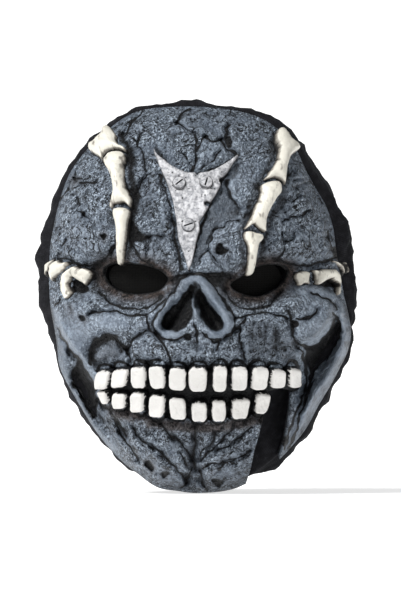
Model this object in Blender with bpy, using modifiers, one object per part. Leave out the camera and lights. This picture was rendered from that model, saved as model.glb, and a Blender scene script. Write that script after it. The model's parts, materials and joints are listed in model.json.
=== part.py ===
"""Skull mask: a cast latex face on a black stretch hood, with teeth, finger bones and a riveted plate.

The face is drawn on a front-view grid: "across" runs to the right from near the centre line and "up" runs from
just under the chin, both in grid units. FACE_WIDTH and FACE_HEIGHT say how large the drawing is on the real mask.
The face is a dome over that drawing, its relief is pushed forward from the dome, and every piece that lies on the
face is laid on the same surface, so that it follows when a size changes.
The origin is the seat of a head: the inside of the hood's crown, above the middle of the neck opening.
"""

import math

import bmesh
import bpy
import numpy as np

# The cast face, in metres.
FACE_WIDTH = 0.190
FACE_HEIGHT = 0.2425
FACE_DEPTH = 0.070
FACE_WALL = 0.0026
DOME_SHARE = 0.93  # how much of a half ball the dome is: with 1 its rim would run straight back
RELIEF = 0.010  # the height that a relief share of 1 stands for

# The hood behind it.
HOOD_DEPTH = 0.124
HOOD_BAND = 0.0125  # how far the hood stands out past the face, where a band share is 1
HOOD_WALL = 0.0015
HOOD_GAP = 0.0009  # between the inside of the face and the hood, at the rim
HOOD_SET = 0.0115  # how much deeper the hood lies away from the rim, clear of the hollows of the face
HOOD_FLARE = 0.016  # behind the rim of the face, where the hood has reached its full width
BACK_ROUNDNESS = 2.5
NECK_FRONT = 0.013  # height of the neck opening above the chin, at the rim of the face
NECK_RISE = 0.30  # slope of the neck opening towards the back

# What lies on the face.
SEAT_GAP = 0.0007  # clearance under a piece that lies on the face
TOOTH_GAP = 0.0005
TOOTH_THICKNESS = 0.0062
TOOTH_EDGE = 0.0012
TOOTH_DIP = 0.0012  # how far the foot of a tooth may follow the face down
BONE_HEIGHT = 0.0072
PLATE_THICKNESS = 0.0021
SCREW_RADIUS = 0.0040
SCREW_HEIGHT = 0.0019
SLOT_WIDTH = 0.0010
SLOT_DEPTH = 0.45  # of a slot, as a share of the screw's height
PANEL_MARGIN = 0.0030  # how far an eye panel reaches past its eye hole
PANEL_THICKNESS = 0.0008
PANEL_CLOSENESS = 0.09  # 0 lays a panel under the deepest place round its eye hole, and more brings it closer
HOOD_EYE_MARGIN = 0.0015  # how much wider the hood's eye openings are than the face's

# Size of the drawing in grid units, and the middle of the dome on it.
DRAWN_WIDTH = 304
DRAWN_HEIGHT = 388
MIDDLE_ACROSS = -2
MIDDLE_UP = 205

# How finely the surfaces are drawn, and how many triangles the two shells keep.
FACE_CELLS = 84
FACE_TRIANGLES = 5000
HOOD_AROUND = 56
HOOD_RINGS = 44
HOOD_TRIANGLES = 2800

UNIT_X = FACE_WIDTH / DRAWN_WIDTH
UNIT_Z = FACE_HEIGHT / DRAWN_HEIGHT

# Edge of the cast face: across, up.
FACE_OUTLINE = [
    (-2, 393), (26, 391), (50, 386), (69, 378), (86, 365), (98, 350), (107, 331), (116, 314),
    (128, 293), (135, 272), (138, 250), (142, 226), (146, 204), (151, 182), (153, 166), (150, 148),
    (142, 131), (132, 112), (121, 94), (108, 70), (92, 50), (74, 32), (47, 14), (26, 7),
    (-2, 5), (-21, 7), (-42, 11), (-62, 25), (-78, 38), (-92, 53), (-105, 70), (-115, 86),
    (-125, 103), (-134, 119), (-140, 134), (-142, 152), (-145, 172), (-149, 195), (-150, 222), (-149, 250),
    (-145, 275), (-138, 303), (-128, 328), (-111, 351), (-91, 370), (-69, 385), (-48, 391), (-25, 393),
]

# How far the hood shows past the face: degrees round from the right, share of HOOD_BAND.
HOOD_BANDS = [
    (0, 0.70), (8, 0.92), (16, 0.95), (24, 0.80), (32, 0.62), (45, 0.62), (52, 0.55), (60, 0.42),
    (68, 0.28), (76, 0.16), (90, 0.26), (104, 0.22), (112, 0.26), (120, 0.30), (128, 0.34), (138, 0.36),
    (150, 0.36), (158, 0.50), (165, 0.66), (176, 0.62), (184, 0.62), (192, 0.48), (200, 0.25), (210, 0.10),
    (218, 0.14), (226, 0.22), (235, 0.16), (242, 0.10), (255, 0.10), (265, 0.04), (278, 0.04), (286, 0.10),
    (300, 0.16), (308, 0.22), (316, 0.27), (330, 0.27), (338, 0.15), (345, 0.05), (352, 0.20),
]

# Broad lobes and hollows: name, across, up, half width, half height, turn in degrees, edge, relief share.
# An edge of 2 is a soft bump, and a larger one a flatter top with steeper sides.
LOBES = [
    ("mouth_bulge", 0, 118, 104, 62, 0, 2, 0.75),
    ("nose_root", -6, 186, 52, 50, 0, 2, 0.50),
    ("temple_lobe_left", -112, 288, 46, 46, 0, 4, 0.50),
    ("brow_wedge_left", -45, 264, 30, 30, -20, 4, 0.32),
    ("brow_wedge_right", 22, 264, 34, 38, 0, 4, 0.38),
    ("temple_lobe_right", 106, 288, 42, 48, 8, 4, 0.52),
    ("crown", 0, 350, 80, 36, 0, 2, 0.22),
    ("eye_socket_left", -66, 218, 46, 21, -6, 4, -0.95),
    ("eye_socket_right", 61, 217, 42, 21, 8, 4, -0.95),
    ("temple_hollow_left", -126, 214, 24, 16, 0, 4, -0.35),
    ("temple_hollow_right", 122, 218, 26, 14, 0, 4, -0.35),
    ("cheekbone_left", -112, 170, 46, 24, -38, 4, 0.62),
    ("cheek_hollow_left", -92, 146, 30, 20, -12, 4, -0.85),
    ("jaw_hollow_left", -112, 106, 11, 44, 28, 4, -0.75),
    ("cheek_ball_right", 111, 181, 31, 27, 0, 4, 0.95),
    ("jaw_hollow_right", 119, 137, 13, 42, -32, 4, -1.05),
    ("chin_lobe_left", -44, 33, 44, 24, -28, 4, 0.55),
    ("chin_lobe_right", 28, 28, 34, 24, 10, 4, 0.55),
    ("chin_cleft", -6, 22, 9, 30, 0, 4, -0.75),
    ("nostril_left", -24, 188, 8, 25, -32, 4, -1.15),
    ("nostril_right", 9, 188, 7, 25, 34, 4, -1.15),
    ("tooth_bed", -4, 108, 106, 22, -1, 6, -0.34),
]

# Raised ridges: half width in grid units, relief share, then the line that it follows as across, up.
RIDGES = {
    "nose_rim_left": (5.5, 0.42, [(-7, 222), (-17, 214), (-24, 202), (-33, 192), (-42, 181), (-41, 170), (-31, 164),
                                  (-19, 168)]),
    "nose_rim_right": (6.5, 0.42, [(-7, 222), (5, 216), (12, 206), (20, 196), (28, 186), (28, 173), (20, 165),
                                   (9, 167)]),
    "ramus_left": (6.5, 0.34, [(-141, 160), (-137, 130), (-125, 102), (-106, 74), (-86, 50)]),
    "ramus_right": (8.0, 0.40, [(145, 186), (148, 160), (134, 128), (116, 98), (102, 70), (90, 50)]),
    "arch_left": (7.0, 0.30, [(-146, 186), (-134, 160), (-116, 134), (-98, 108)]),
}

# Eye holes: across, up, half width, half height, turn in degrees.
EYE_HOLES = {
    "left": (-65, 220, 32, 14.5, -8),
    "right": (61, 220, 29, 15, 10),
}

# The notch in the jaw, where the hood shows: across, up. Its last two points lie past the rim.
JAW_NOTCH = [(68, 108), (92, 107), (91, 84), (85, 58), (78, 40), (92, 8), (42, -12), (49, 30), (57, 56), (63, 84)]

# Teeth: across, up, half width, half height, turn in degrees.
UPPER_TEETH = [
    (-94, 122, 7.5, 9.0, 6), (-77.5, 123.5, 7.7, 9.8, 2), (-58.5, 124, 7.5, 11.0, 1), (-40.5, 124.5, 8.3, 11.3, 4),
    (-21.5, 122.5, 8.5, 11.5, 0), (-2, 122.5, 9.8, 12.3, 0), (19.5, 123.5, 7.6, 12.5, 0), (38, 123, 8.2, 12.0, -2),
    (57, 123, 7.8, 12.0, -6), (74.5, 122.5, 7.6, 9.8, -3), (91.5, 124, 6.7, 10.2, 0),
]
LOWER_TEETH = [
    (-92, 104, 5.5, 6.5, -22), (-78, 101.8, 7.3, 7.8, -2), (-60, 99.5, 7.8, 9.6, -2), (-41, 96, 8.0, 11.0, 0),
    (-21.5, 94, 8.5, 11.0, -3), (-1, 91, 8.2, 10.2, 0), (18, 92.5, 7.2, 10.5, 0), (38, 94.5, 8.7, 10.3, 5),
    (59, 99.5, 7.9, 10.2, -12),
]

# Bones: the line that each follows as across, up, and its half widths in grid units at even steps along it.
BONES = {
    "left_knuckle": ([(-92, 369), (-92, 358), (-91, 346)], [5.0, 9.0, 12.5, 15.0, 12.0]),
    "left_phalanx": ([(-83, 345), (-81, 322), (-77, 293)], [7.0, 11.5, 9.0, 6.6, 7.0, 9.5, 10.0]),
    "left_fingertip": ([(-77, 290), (-77, 262), (-78, 236)], [7.0, 9.3, 7.5, 6.0, 5.4, 4.6]),
    "right_knuckle": ([(84, 368), (82, 345), (73, 319)], [5.0, 10.0, 11.0, 7.6, 8.0, 11.5]),
    "right_phalanx": ([(70, 317), (66, 296), (54, 271)], [6.5, 10.5, 10.5, 8.0, 8.0, 11.0]),
    "right_fingertip": ([(52, 267), (51, 248), (47, 225)], [8.5, 9.6, 6.6, 5.6, 5.2, 4.4]),
    "left_side_knuckle": ([(-147, 241), (-149, 232), (-148, 223)], [1.0, 1.7, 1.7, 1.0]),
    "left_side_phalanx": ([(-128, 236), (-138, 232), (-143, 218)], [2.0, 5.0, 5.6, 2.5]),
    "left_side_claw": ([(-106, 218), (-113, 224), (-121, 227), (-128, 221), (-131, 211), (-130.5, 202)],
                       [5.5, 6.5, 7.0, 5.2, 4.2, 3.8, 2.0]),
    "right_side_tip": ([(93, 221), (100, 221), (106, 221)], [5.0, 7.6, 7.6, 6.6]),
    "right_side_claw": ([(113, 221), (124, 226), (134, 221), (136, 206)], [7.0, 7.8, 5.4, 4.2, 2.4]),
    "right_side_knuckle": ([(131, 238), (138, 234), (142, 224)], [2.0, 3.0, 2.8, 1.6]),
}
BONE_STEPS = 7
BONE_SIDES = 8

# The plate: its left edge and right edge from the tip up to the horns, and the hollow edge between the horns.
PLATE_LEFT = [(-12, 228), (-16, 250), (-21, 275), (-28, 303), (-36, 326), (-46, 352)]
PLATE_RIGHT = [(-9, 228), (-3, 253), (5, 281), (15, 302), (25, 325), (37, 341)]
PLATE_HOLLOW = [(-46, 352), (-36, 341), (-24, 331), (-3, 325), (14, 330), (26, 335), (37, 341)]
PLATE_ROWS = 9
PLATE_COLUMNS = 8
SCREWS = {"one": (-21, 314.5, 40), "two": (6, 314, 75), "three": (-12, 273, 20)}  # across, up, slot's turn

MATERIALS = {
    "painted_latex": ((0.20, 0.245, 0.30), 0.62, 0.0),
    "tooth_paint": ((0.86, 0.85, 0.83), 0.42, 0.0),
    "bone_paint": ((0.80, 0.76, 0.66), 0.5, 0.0),
    "plate_paint": ((0.50, 0.50, 0.52), 0.45, 0.25),
    "hood_cloth": ((0.014, 0.014, 0.018), 0.85, 0.0),
    "eye_mesh": ((0.008, 0.008, 0.009), 0.8, 0.0),
}


def smooth_line(points, count):
    """Points at even steps along the smooth curve through the given ones."""
    points = np.array(points, float)
    ends = np.vstack([2 * points[0] - points[1], points, 2 * points[-1] - points[-2]])
    dense = []
    for p0, p1, p2, p3 in zip(ends, ends[1:], ends[2:], ends[3:]):
        t = np.linspace(0, 1, 12, endpoint=False)[:, None]
        bend = 2 * p0 - 5 * p1 + 4 * p2 - p3
        twist = 3 * p1 - p0 - 3 * p2 + p3
        dense.append(0.5 * (2 * p1 + (p2 - p0) * t + bend * t**2 + twist * t**3))
    dense = np.vstack([*dense, points[-1:]])
    run = np.concatenate([[0], np.cumsum(np.linalg.norm(np.diff(dense, axis=0), axis=1))])
    steps = np.linspace(0, run[-1], count)
    return np.stack([np.interp(steps, run, dense[:, k]) for k in range(2)], axis=1)


def closed_outline(points, count):
    """The smooth closed curve through the points."""
    return smooth_line([*points, points[0]], count + 1)[:-1]


def polar_table(points):
    """Angles and distances of an outline, seen from the middle of the dome, sorted by angle."""
    offsets = closed_outline(points, 360) - (MIDDLE_ACROSS, MIDDLE_UP)
    angles = np.arctan2(offsets[:, 1], offsets[:, 0]) % (2 * math.pi)
    order = np.argsort(angles)
    return angles[order], np.hypot(*offsets.T)[order]


FACE_POLAR = polar_table(FACE_OUTLINE)


def face_reach(angle):
    """Distance in grid units from the middle of the dome to the edge of the face."""
    return np.interp(angle % (2 * math.pi), *FACE_POLAR, period=2 * math.pi)


def hood_reach(angle):
    """Share of HOOD_BAND by which the hood stands past the face at this angle."""
    degrees, shares = np.array(HOOD_BANDS, float).T
    return np.interp(np.degrees(angle) % 360, degrees, shares, period=360)


def spread(across, up):
    """How far out a place lies on the dome: 0 at its middle, 1 at the edge of the face."""
    dx, dz = across - MIDDLE_ACROSS, up - MIDDLE_UP
    return np.hypot(dx, dz) / face_reach(np.arctan2(dz, dx))


def place(across, up, depth):
    """A point in metres, from a place on the drawing and a depth behind the rim plane, before the origin is moved."""
    return np.stack([across * UNIT_X, depth, up * UNIT_Z], axis=-1)


def dome(across, up):
    """Points of the bare dome and its outward normals."""
    rho = np.clip(spread(across, up), 0, 1)
    cut_level = math.sqrt(1 - DOME_SHARE**2)
    ball = np.sqrt(1 - (DOME_SHARE * rho) ** 2)
    level = (ball - cut_level) / (1 - cut_level)
    steep = FACE_DEPTH * DOME_SHARE**2 * rho / (ball * (1 - cut_level))
    step = 1.0
    slope_x = (spread(across + step, up) - spread(across - step, up)) / (2 * step * UNIT_X)
    slope_z = (spread(across, up + step) - spread(across, up - step)) / (2 * step * UNIT_Z)
    normals = np.stack([steep * slope_x, -np.ones_like(rho), steep * slope_z], axis=-1)
    normals /= np.linalg.norm(normals, axis=-1, keepdims=True)
    return place(across, up, -FACE_DEPTH * level), normals


def lobes(across, up):
    """Height of the broad lobes and hollows, in metres."""
    height = np.zeros(np.shape(across))
    for _, u, v, half_wide, half_tall, turn, edge, share in LOBES:
        c, s = math.cos(math.radians(turn)), math.sin(math.radians(turn))
        du, dv = across - u, up - v
        far = np.hypot((du * c + dv * s) / half_wide, (dv * c - du * s) / half_tall)
        height += RELIEF * share * np.exp(-0.7 * far**edge)
    return height


def ridges(across, up):
    """Height of the narrow raised ridges, in metres."""
    height = np.zeros(np.shape(across))
    for half, share, points in RIDGES.values():
        line = smooth_line(points, 8 * len(points))
        far = np.min(np.hypot(across[..., None] - line[:, 0], up[..., None] - line[:, 1]), axis=-1)
        height = np.maximum(height, RELIEF * share * np.exp(-((far / half) ** 2)))
    return height


def rim_fade(across, up):
    """1 over the face, falling to 0 at its edge, where the relief runs out."""
    inward = np.clip((1 - spread(across, up)) / 0.16, 0, 1)
    return inward * (2 - inward)


def raised(across, up, relief):
    """The dome with this relief, pushed forward so far that it stands by its height over the dome."""
    points, normals = dome(across, up)
    points[..., 1] -= relief * rim_fade(across, up) / np.maximum(-normals[..., 1], 0.45)
    return points, normals


def on_face(across, up, height):
    """Points at a height over the finished face, in metres."""
    across, up = np.asarray(across, float), np.asarray(up, float)
    points, normals = raised(across, up, lobes(across, up) + ridges(across, up))
    return points + normals * np.asarray(height)[..., None]


def under_face(across, up, depth):
    """Points at a depth under the smooth inside of the face: narrow ridges don't show there."""
    across, up = np.asarray(across, float), np.asarray(up, float)
    points, normals = raised(across, up, np.minimum(lobes(across, up), 0.6 * RELIEF))
    return points - normals * depth[..., None]


def lining(across, up):
    """Points of the hood where it passes behind the face: a taut skin that doesn't dip into the hollows."""
    points, normals = dome(across, up)
    away = np.clip((1 - spread(across, up)) / 0.10, 0, 1)
    depth = FACE_WALL + HOOD_GAP + HOOD_SET * away * away * (3 - 2 * away)
    return points - normals * depth[..., None]


def seat_of_head():
    """The inside of the hood's crown, over the middle of the head: the origin of the part."""
    crown_up = (MIDDLE_UP + face_reach(math.pi / 2)) * UNIT_Z
    return np.array([MIDDLE_ACROSS * UNIT_X, 0.22 * HOOD_DEPTH, crown_up])


ORIGIN = seat_of_head()


def new_object(name, material, mesh, collection="skull_mask"):
    """An object of this mesh in a collection, with its material."""
    obj = bpy.data.objects.new(name, mesh)
    obj.data.materials.append(bpy.data.materials[material])
    bpy.data.collections[collection].objects.link(obj)
    return obj


def grid_mesh(name, columns, rows):
    """A flat grid and its vertices' places, each from -1 to 1."""
    bm = bmesh.new()
    bmesh.ops.create_grid(bm, x_segments=columns, y_segments=rows, size=1)
    mesh = bpy.data.meshes.new(name)
    bm.to_mesh(mesh)
    bm.free()
    return mesh, read_points(mesh)[:, :2]


def read_points(mesh):
    """The vertices of a mesh as an array."""
    points = np.empty(len(mesh.vertices) * 3)
    mesh.vertices.foreach_get("co", points)
    return points.reshape(-1, 3)


def write_points(mesh, points):
    """Moves the vertices of a mesh, given in metres from the chin's plane, to the part's own origin."""
    mesh.vertices.foreach_set("co", (points - ORIGIN).astype(np.float32).ravel())
    mesh.update()


def baked(obj):
    """The object's mesh with its modifiers applied, which are then removed."""
    bpy.context.view_layer.update()
    graph = bpy.context.evaluated_depsgraph_get()
    old = obj.data
    obj.data = bpy.data.meshes.new_from_object(obj.evaluated_get(graph))
    obj.modifiers.clear()
    bpy.data.meshes.remove(old)
    return obj.data


def walled(obj, thickness):
    """Gives an open surface a wall. The first half of its vertices is the outer skin, the second the inner one."""
    solidify = obj.modifiers.new("wall", "SOLIDIFY")
    solidify.thickness = thickness
    solidify.offset = -1
    return baked(obj)


def thin_out(obj, triangles):
    """Keeps about this many triangles, most of them where the surface bends."""
    obj.data.calc_loop_triangles()
    decimate = obj.modifiers.new("fewer_faces", "DECIMATE")
    decimate.ratio = min(1.0, triangles / len(obj.data.loop_triangles))
    return baked(obj)


def cut(obj, cutter):
    """Cuts the cutter out of the object."""
    boolean = obj.modifiers.new("cut_" + cutter.name, "BOOLEAN")
    boolean.operation = "DIFFERENCE"
    boolean.object = cutter


def facing_out(mesh):
    """Turns every face of a closed mesh outwards."""
    bm = bmesh.new()
    bm.from_mesh(mesh)
    bmesh.ops.recalc_face_normals(bm, faces=bm.faces)
    if bm.calc_volume(signed=True) < 0:
        bmesh.ops.reverse_faces(bm, faces=bm.faces)
    bm.to_mesh(mesh)
    bm.free()


def disc_places(places):
    """Spreads the square grid over the drawing of the face, finer towards the rim, where the dome is steep."""
    a, b = places.T
    dx, dz = a * np.sqrt(1 - b**2 / 2), b * np.sqrt(1 - a**2 / 2)
    angle = np.arctan2(dz, dx)
    rho = np.clip(np.hypot(dx, dz), 0, 1)
    rho = rho * (1.15 - 0.15 * rho**2)
    reach = rho * face_reach(angle)
    return MIDDLE_ACROSS + reach * np.cos(angle), MIDDLE_UP + reach * np.sin(angle)


def make_face():
    """The cast face: a domed shell with its relief, its two eye holes and the notch in its jaw."""
    mesh, places = grid_mesh("face_shell", FACE_CELLS, FACE_CELLS)
    across, up = disc_places(places)
    face = new_object("face_shell", "painted_latex", mesh)
    write_points(mesh, on_face(across, up, np.zeros(len(across))))
    mesh = walled(face, FACE_WALL)
    wall = np.full(len(across), FACE_WALL)
    outer = on_face(across, up, np.zeros(len(across)))
    write_points(mesh, np.vstack([outer, under_face(across, up, wall)]))
    facing_out(mesh)
    thin_out(face, FACE_TRIANGLES)
    for side, hole in EYE_HOLES.items():
        cut(face, prism("eye_cutter_" + side, ellipse(*hole, 0), 0.1 * FACE_DEPTH))
    cut(face, prism("notch_cutter", np.array(JAW_NOTCH, float), 2 * FACE_DEPTH))
    return face


def ellipse(across, up, half_wide, half_tall, turn, margin, count=24):
    """An eye's outline on the drawing, grown by a margin in metres."""
    t = np.linspace(0, 2 * math.pi, count, endpoint=False)
    a = (half_wide + margin / UNIT_X) * np.cos(t)
    b = (half_tall + margin / UNIT_Z) * np.sin(t)
    c, s = math.cos(math.radians(turn)), math.sin(math.radians(turn))
    return np.stack([across + a * c - b * s, up + a * s + b * c], axis=1)


def prism(name, outline, reach):
    """A cutter that runs from in front of the face to a depth behind the rim plane, over an outline."""
    bm = bmesh.new()
    flat = np.full(len(outline), -1.5 * FACE_DEPTH)
    front = place(outline[:, 0], outline[:, 1], flat) - ORIGIN
    face = bm.faces.new([bm.verts.new(p) for p in front])
    pushed = bmesh.ops.extrude_face_region(bm, geom=[face])["geom"]
    far = reach + 1.0 * FACE_DEPTH
    moved = [v for v in pushed if isinstance(v, bmesh.types.BMVert)]
    bmesh.ops.translate(bm, verts=moved, vec=(0, far, 0))
    bmesh.ops.recalc_face_normals(bm, faces=bm.faces)
    mesh = bpy.data.meshes.new(name)
    bm.to_mesh(mesh)
    bm.free()
    cutter = new_object(name, "eye_mesh", mesh, "cutters")
    cutter.hide_render = True
    cutter.display_type = "WIRE"
    return cutter


def hood_points(polar, angle):
    """Points of the hood: its front lies behind the face, then it flares past the rim and closes at the back."""
    front = np.clip(polar / (0.5 * math.pi), 0, 1)
    rho = front * (1.15 - 0.15 * front**2)
    reach = face_reach(angle)
    skin = lining(MIDDLE_ACROSS + rho * reach * np.cos(angle), MIDDLE_UP + rho * reach * np.sin(angle))
    rim, _ = dome(MIDDLE_ACROSS + reach * np.cos(angle), MIDDLE_UP + reach * np.sin(angle))
    outward = np.stack([np.cos(angle), np.zeros(len(angle)), np.sin(angle)], axis=1)
    back = np.clip(polar / (0.5 * math.pi) - 1, 0, 1)
    depth = HOOD_DEPTH * np.sin(0.5 * math.pi * back)
    level = (1 - np.sin(0.5 * math.pi * back) ** BACK_ROUNDNESS) ** (1 / BACK_ROUNDNESS)
    flare = np.clip(depth / HOOD_FLARE, 0, 1)
    flare = flare * flare * (3 - 2 * flare)
    inside = -(FACE_WALL + HOOD_GAP)
    past = inside + flare * (HOOD_BAND * hood_reach(angle) - inside)
    middle = np.array([MIDDLE_ACROSS * UNIT_X, 0, MIDDLE_UP * UNIT_Z])
    behind = middle + (rim + outward * past[:, None] - middle) * level[:, None]
    behind[:, 1] = depth
    return np.where((polar <= 0.5 * math.pi)[:, None], skin, behind)


def make_hood():
    """The stretch hood: a bag of cloth that lines the face and goes round the head, open at the neck."""
    bm = bmesh.new()
    bmesh.ops.create_uvsphere(bm, u_segments=HOOD_AROUND, v_segments=HOOD_RINGS, radius=1)
    mesh = bpy.data.meshes.new("hood")
    bm.to_mesh(mesh)
    sphere = read_points(mesh)
    polar = np.arccos(np.clip(sphere[:, 2], -1, 1))
    points = hood_points(polar, np.arctan2(sphere[:, 1], sphere[:, 0])) - ORIGIN
    for vert, point in zip(bm.verts, points):
        vert.co = point
    bmesh.ops.recalc_face_normals(bm, faces=bm.faces)
    neck = np.array([0, 0, NECK_FRONT]) - ORIGIN
    bmesh.ops.bisect_plane(
        bm, geom=bm.verts[:] + bm.edges[:] + bm.faces[:], plane_co=neck, plane_no=(0, NECK_RISE, -1), clear_outer=True
    )
    bm.to_mesh(mesh)
    bm.free()
    hood = new_object("hood", "hood_cloth", mesh)
    walled(hood, HOOD_WALL)
    thin_out(hood, HOOD_TRIANGLES)
    for side, hole in EYE_HOLES.items():
        cut(hood, prism("hood_eye_cutter_" + side, ellipse(*hole, HOOD_EYE_MARGIN), 0.1 * FACE_DEPTH))
    return hood


def make_eye_panel(side):
    """A sheet of see-through mesh under the face, behind an eye hole."""
    mesh, places = grid_mesh("eye_mesh_" + side, 8, 6)
    a, b = places.T
    across, up, half_wide, half_tall, turn = EYE_HOLES[side]
    dx = a * np.sqrt(1 - b**2 / 2) * (half_wide + PANEL_MARGIN / UNIT_X)
    dz = b * np.sqrt(1 - a**2 / 2) * (half_tall + PANEL_MARGIN / UNIT_Z)
    c, s = math.cos(math.radians(turn)), math.sin(math.radians(turn))
    u, v = across + dx * c - dz * s, up + dx * s + dz * c
    points, normals = dome(u, v)
    margin = np.hypot(a, b) > 0.9
    inside = under_face(u[margin], v[margin], np.full(margin.sum(), FACE_WALL + SEAT_GAP))
    levels = ((inside - points[margin]) * normals[margin]).sum(axis=1)
    write_points(mesh, points + normals * np.quantile(levels, PANEL_CLOSENESS))
    panel = new_object("eye_mesh_" + side, "eye_mesh", mesh)
    mesh = walled(panel, PANEL_THICKNESS)
    facing_out(mesh)


def make_tooth(name, across, up, half_wide, half_tall, turn):
    """A tooth: a rounded block that stands on the tooth bed."""
    bm = bmesh.new()
    bmesh.ops.create_cube(bm, size=2)
    smallest = min(half_wide * UNIT_X, half_tall * UNIT_Z)
    bmesh.ops.bevel(
        bm, geom=bm.edges[:], offset=TOOTH_EDGE / smallest, segments=1, affect="EDGES", clamp_overlap=True
    )
    mesh = bpy.data.meshes.new(name)
    bm.to_mesh(mesh)
    bm.free()
    a, b, rise = read_points(mesh).T
    narrow = 1.03 - 0.06 * (rise + 1) / 2
    c, s = math.cos(math.radians(turn)), math.sin(math.radians(turn))
    du, dv = a * half_wide * narrow, b * half_tall * narrow
    x, z = du * c - dv * s, du * s + dv * c
    foot = heights(across + x, up + z, (across, up), TOOTH_GAP)
    crown = foot.max() + TOOTH_THICKNESS * (1 - 0.10 * (a**2 + b**2) / 2)
    foot = np.maximum(foot, foot.max() - TOOTH_DIP)
    height = foot + (crown - foot) * (rise + 1) / 2
    write_points(mesh, stiff_points((across, up), x * UNIT_X, z * UNIT_Z, height))
    facing_out(mesh)
    new_object(name, "tooth_paint", mesh)


def seat_frame(across, up):
    """The seat of a small stiff piece: its point on the face, and its rightward, upward and outward directions."""
    _, normal = dome(np.array([across], float), np.array([up], float))
    normal = normal[0]
    right = np.array([1.0, 0, 0]) - normal * normal[0]
    right /= np.linalg.norm(right)
    return on_face(across, up, 0.0), right, np.cross(normal, right), normal


def heights(across, up, middle, stand):
    """How far these places on the face, raised by stand, lie over the seat of a small piece."""
    seat, _, _, normal = seat_frame(*middle)
    return (on_face(across, up, np.full(len(across), stand)) - seat) @ normal


def stiff_points(middle, x, z, height):
    """Points of a small stiff piece, from its own sizes in metres and their height over its seat."""
    seat, right, top, normal = seat_frame(*middle)
    return seat + x[:, None] * right + z[:, None] * top + height[:, None] * normal


def make_bone(name, points, halves):
    """A finger bone: a rod with knobbly ends, flat where it lies on the face."""
    bm = bmesh.new()
    bmesh.ops.create_cone(
        bm, cap_ends=True, segments=BONE_SIDES, radius1=1, radius2=1, depth=2
    )
    long_edges = [e for e in bm.edges if abs(e.verts[0].co.z - e.verts[1].co.z) > 1]
    bmesh.ops.subdivide_edges(bm, edges=long_edges, cuts=BONE_STEPS - 2)
    mesh = bpy.data.meshes.new(name)
    bm.to_mesh(mesh)
    bm.free()
    x, y, along = read_points(mesh).T
    station = (along + 1) / 2
    line = smooth_line(points, 64)
    steps = np.linspace(0, 1, len(line))
    centre = np.stack([np.interp(station, steps, line[:, k]) for k in range(2)], axis=1)
    tangent = np.gradient(line, axis=0)
    tangent = np.stack([np.interp(station, steps, tangent[:, k]) for k in range(2)], axis=1)
    tangent /= np.linalg.norm(tangent, axis=1, keepdims=True)
    sideways = np.stack([tangent[:, 1], -tangent[:, 0]], axis=1)
    half = np.interp(station, np.linspace(0, 1, len(halves)), halves)
    across, up = (centre + sideways * (x * half)[:, None]).T
    thick = BONE_HEIGHT * np.interp(half, [2, 6, 12], [0.45, 0.8, 1.0])
    end = np.clip(np.minimum(station, 1 - station) * 8, 0, 1)
    height = SEAT_GAP + thick * np.clip(y, 0, 1) * (0.62 + 0.38 * end)
    write_points(mesh, on_face(across, up, height))
    facing_out(mesh)
    new_object(name, "bone_paint", mesh)


def plate_places(a, b):
    """Places of the plate on the drawing, from its own a across and b up, each from 0 to 1."""
    rows = np.linspace(0, 1, 40)
    left, right = smooth_line(PLATE_LEFT, 40), smooth_line(PLATE_RIGHT, 40)
    hollow = smooth_line(PLATE_HOLLOW, 40)
    def at(line, t):
        return np.stack([np.interp(t, rows, line[:, k]) for k in range(2)], axis=1)
    a, b = a[:, None], b[:, None]
    between = (1 - a) * at(left, b[:, 0]) + a * at(right, b[:, 0])
    straight = (1 - a) * left[-1] + a * right[-1]
    return between + b**1.5 * (at(hollow, a[:, 0]) - straight)


def make_plate():
    """The pointed plate with two horns, bent over the forehead."""
    mesh, places = grid_mesh("forehead_plate", PLATE_COLUMNS, PLATE_ROWS)
    across, up = plate_places(*((places + 1) / 2).T).T
    plate = new_object("forehead_plate", "plate_paint", mesh)
    write_points(mesh, on_face(across, up, np.full(len(across), SEAT_GAP + PLATE_THICKNESS)))
    mesh = walled(plate, PLATE_THICKNESS)
    outer = on_face(across, up, np.full(len(across), SEAT_GAP + PLATE_THICKNESS))
    inner = on_face(across, up, np.full(len(across), SEAT_GAP))
    write_points(mesh, np.vstack([outer, inner]))
    facing_out(mesh)


def make_screw(name, across, up, turn):
    """A slotted round screw head on the plate."""
    bm = bmesh.new()
    bmesh.ops.create_cone(bm, cap_ends=True, segments=16, radius1=1, radius2=0.86, depth=2)
    mesh = bpy.data.meshes.new(name)
    bm.to_mesh(mesh)
    bm.free()
    x, y, rise = read_points(mesh).T
    x, y = x * SCREW_RADIUS, y * SCREW_RADIUS
    lift = heights(across + x / UNIT_X, up + y / UNIT_Z, (across, up), 2 * SEAT_GAP + PLATE_THICKNESS).max()
    write_points(mesh, stiff_points((across, up), x, y, lift + (rise + 1) / 2 * SCREW_HEIGHT))
    facing_out(mesh)
    screw = new_object(name, "plate_paint", mesh)
    bm = bmesh.new()
    bmesh.ops.create_cube(bm, size=2)
    mesh = bpy.data.meshes.new(name + "_slot")
    bm.to_mesh(mesh)
    bm.free()
    x, y, rise = read_points(mesh).T
    c, s = math.cos(math.radians(turn)), math.sin(math.radians(turn))
    x, y = x * 2 * SCREW_RADIUS, y * SLOT_WIDTH / 2
    height = lift + SCREW_HEIGHT * (1 + SLOT_DEPTH * rise)
    write_points(mesh, stiff_points((across, up), x * c - y * s, x * s + y * c, height))
    facing_out(mesh)
    slot = new_object(name + "_slot", "eye_mesh", mesh, "cutters")
    slot.hide_render = True
    slot.display_type = "WIRE"
    cut(screw, slot)


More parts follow.
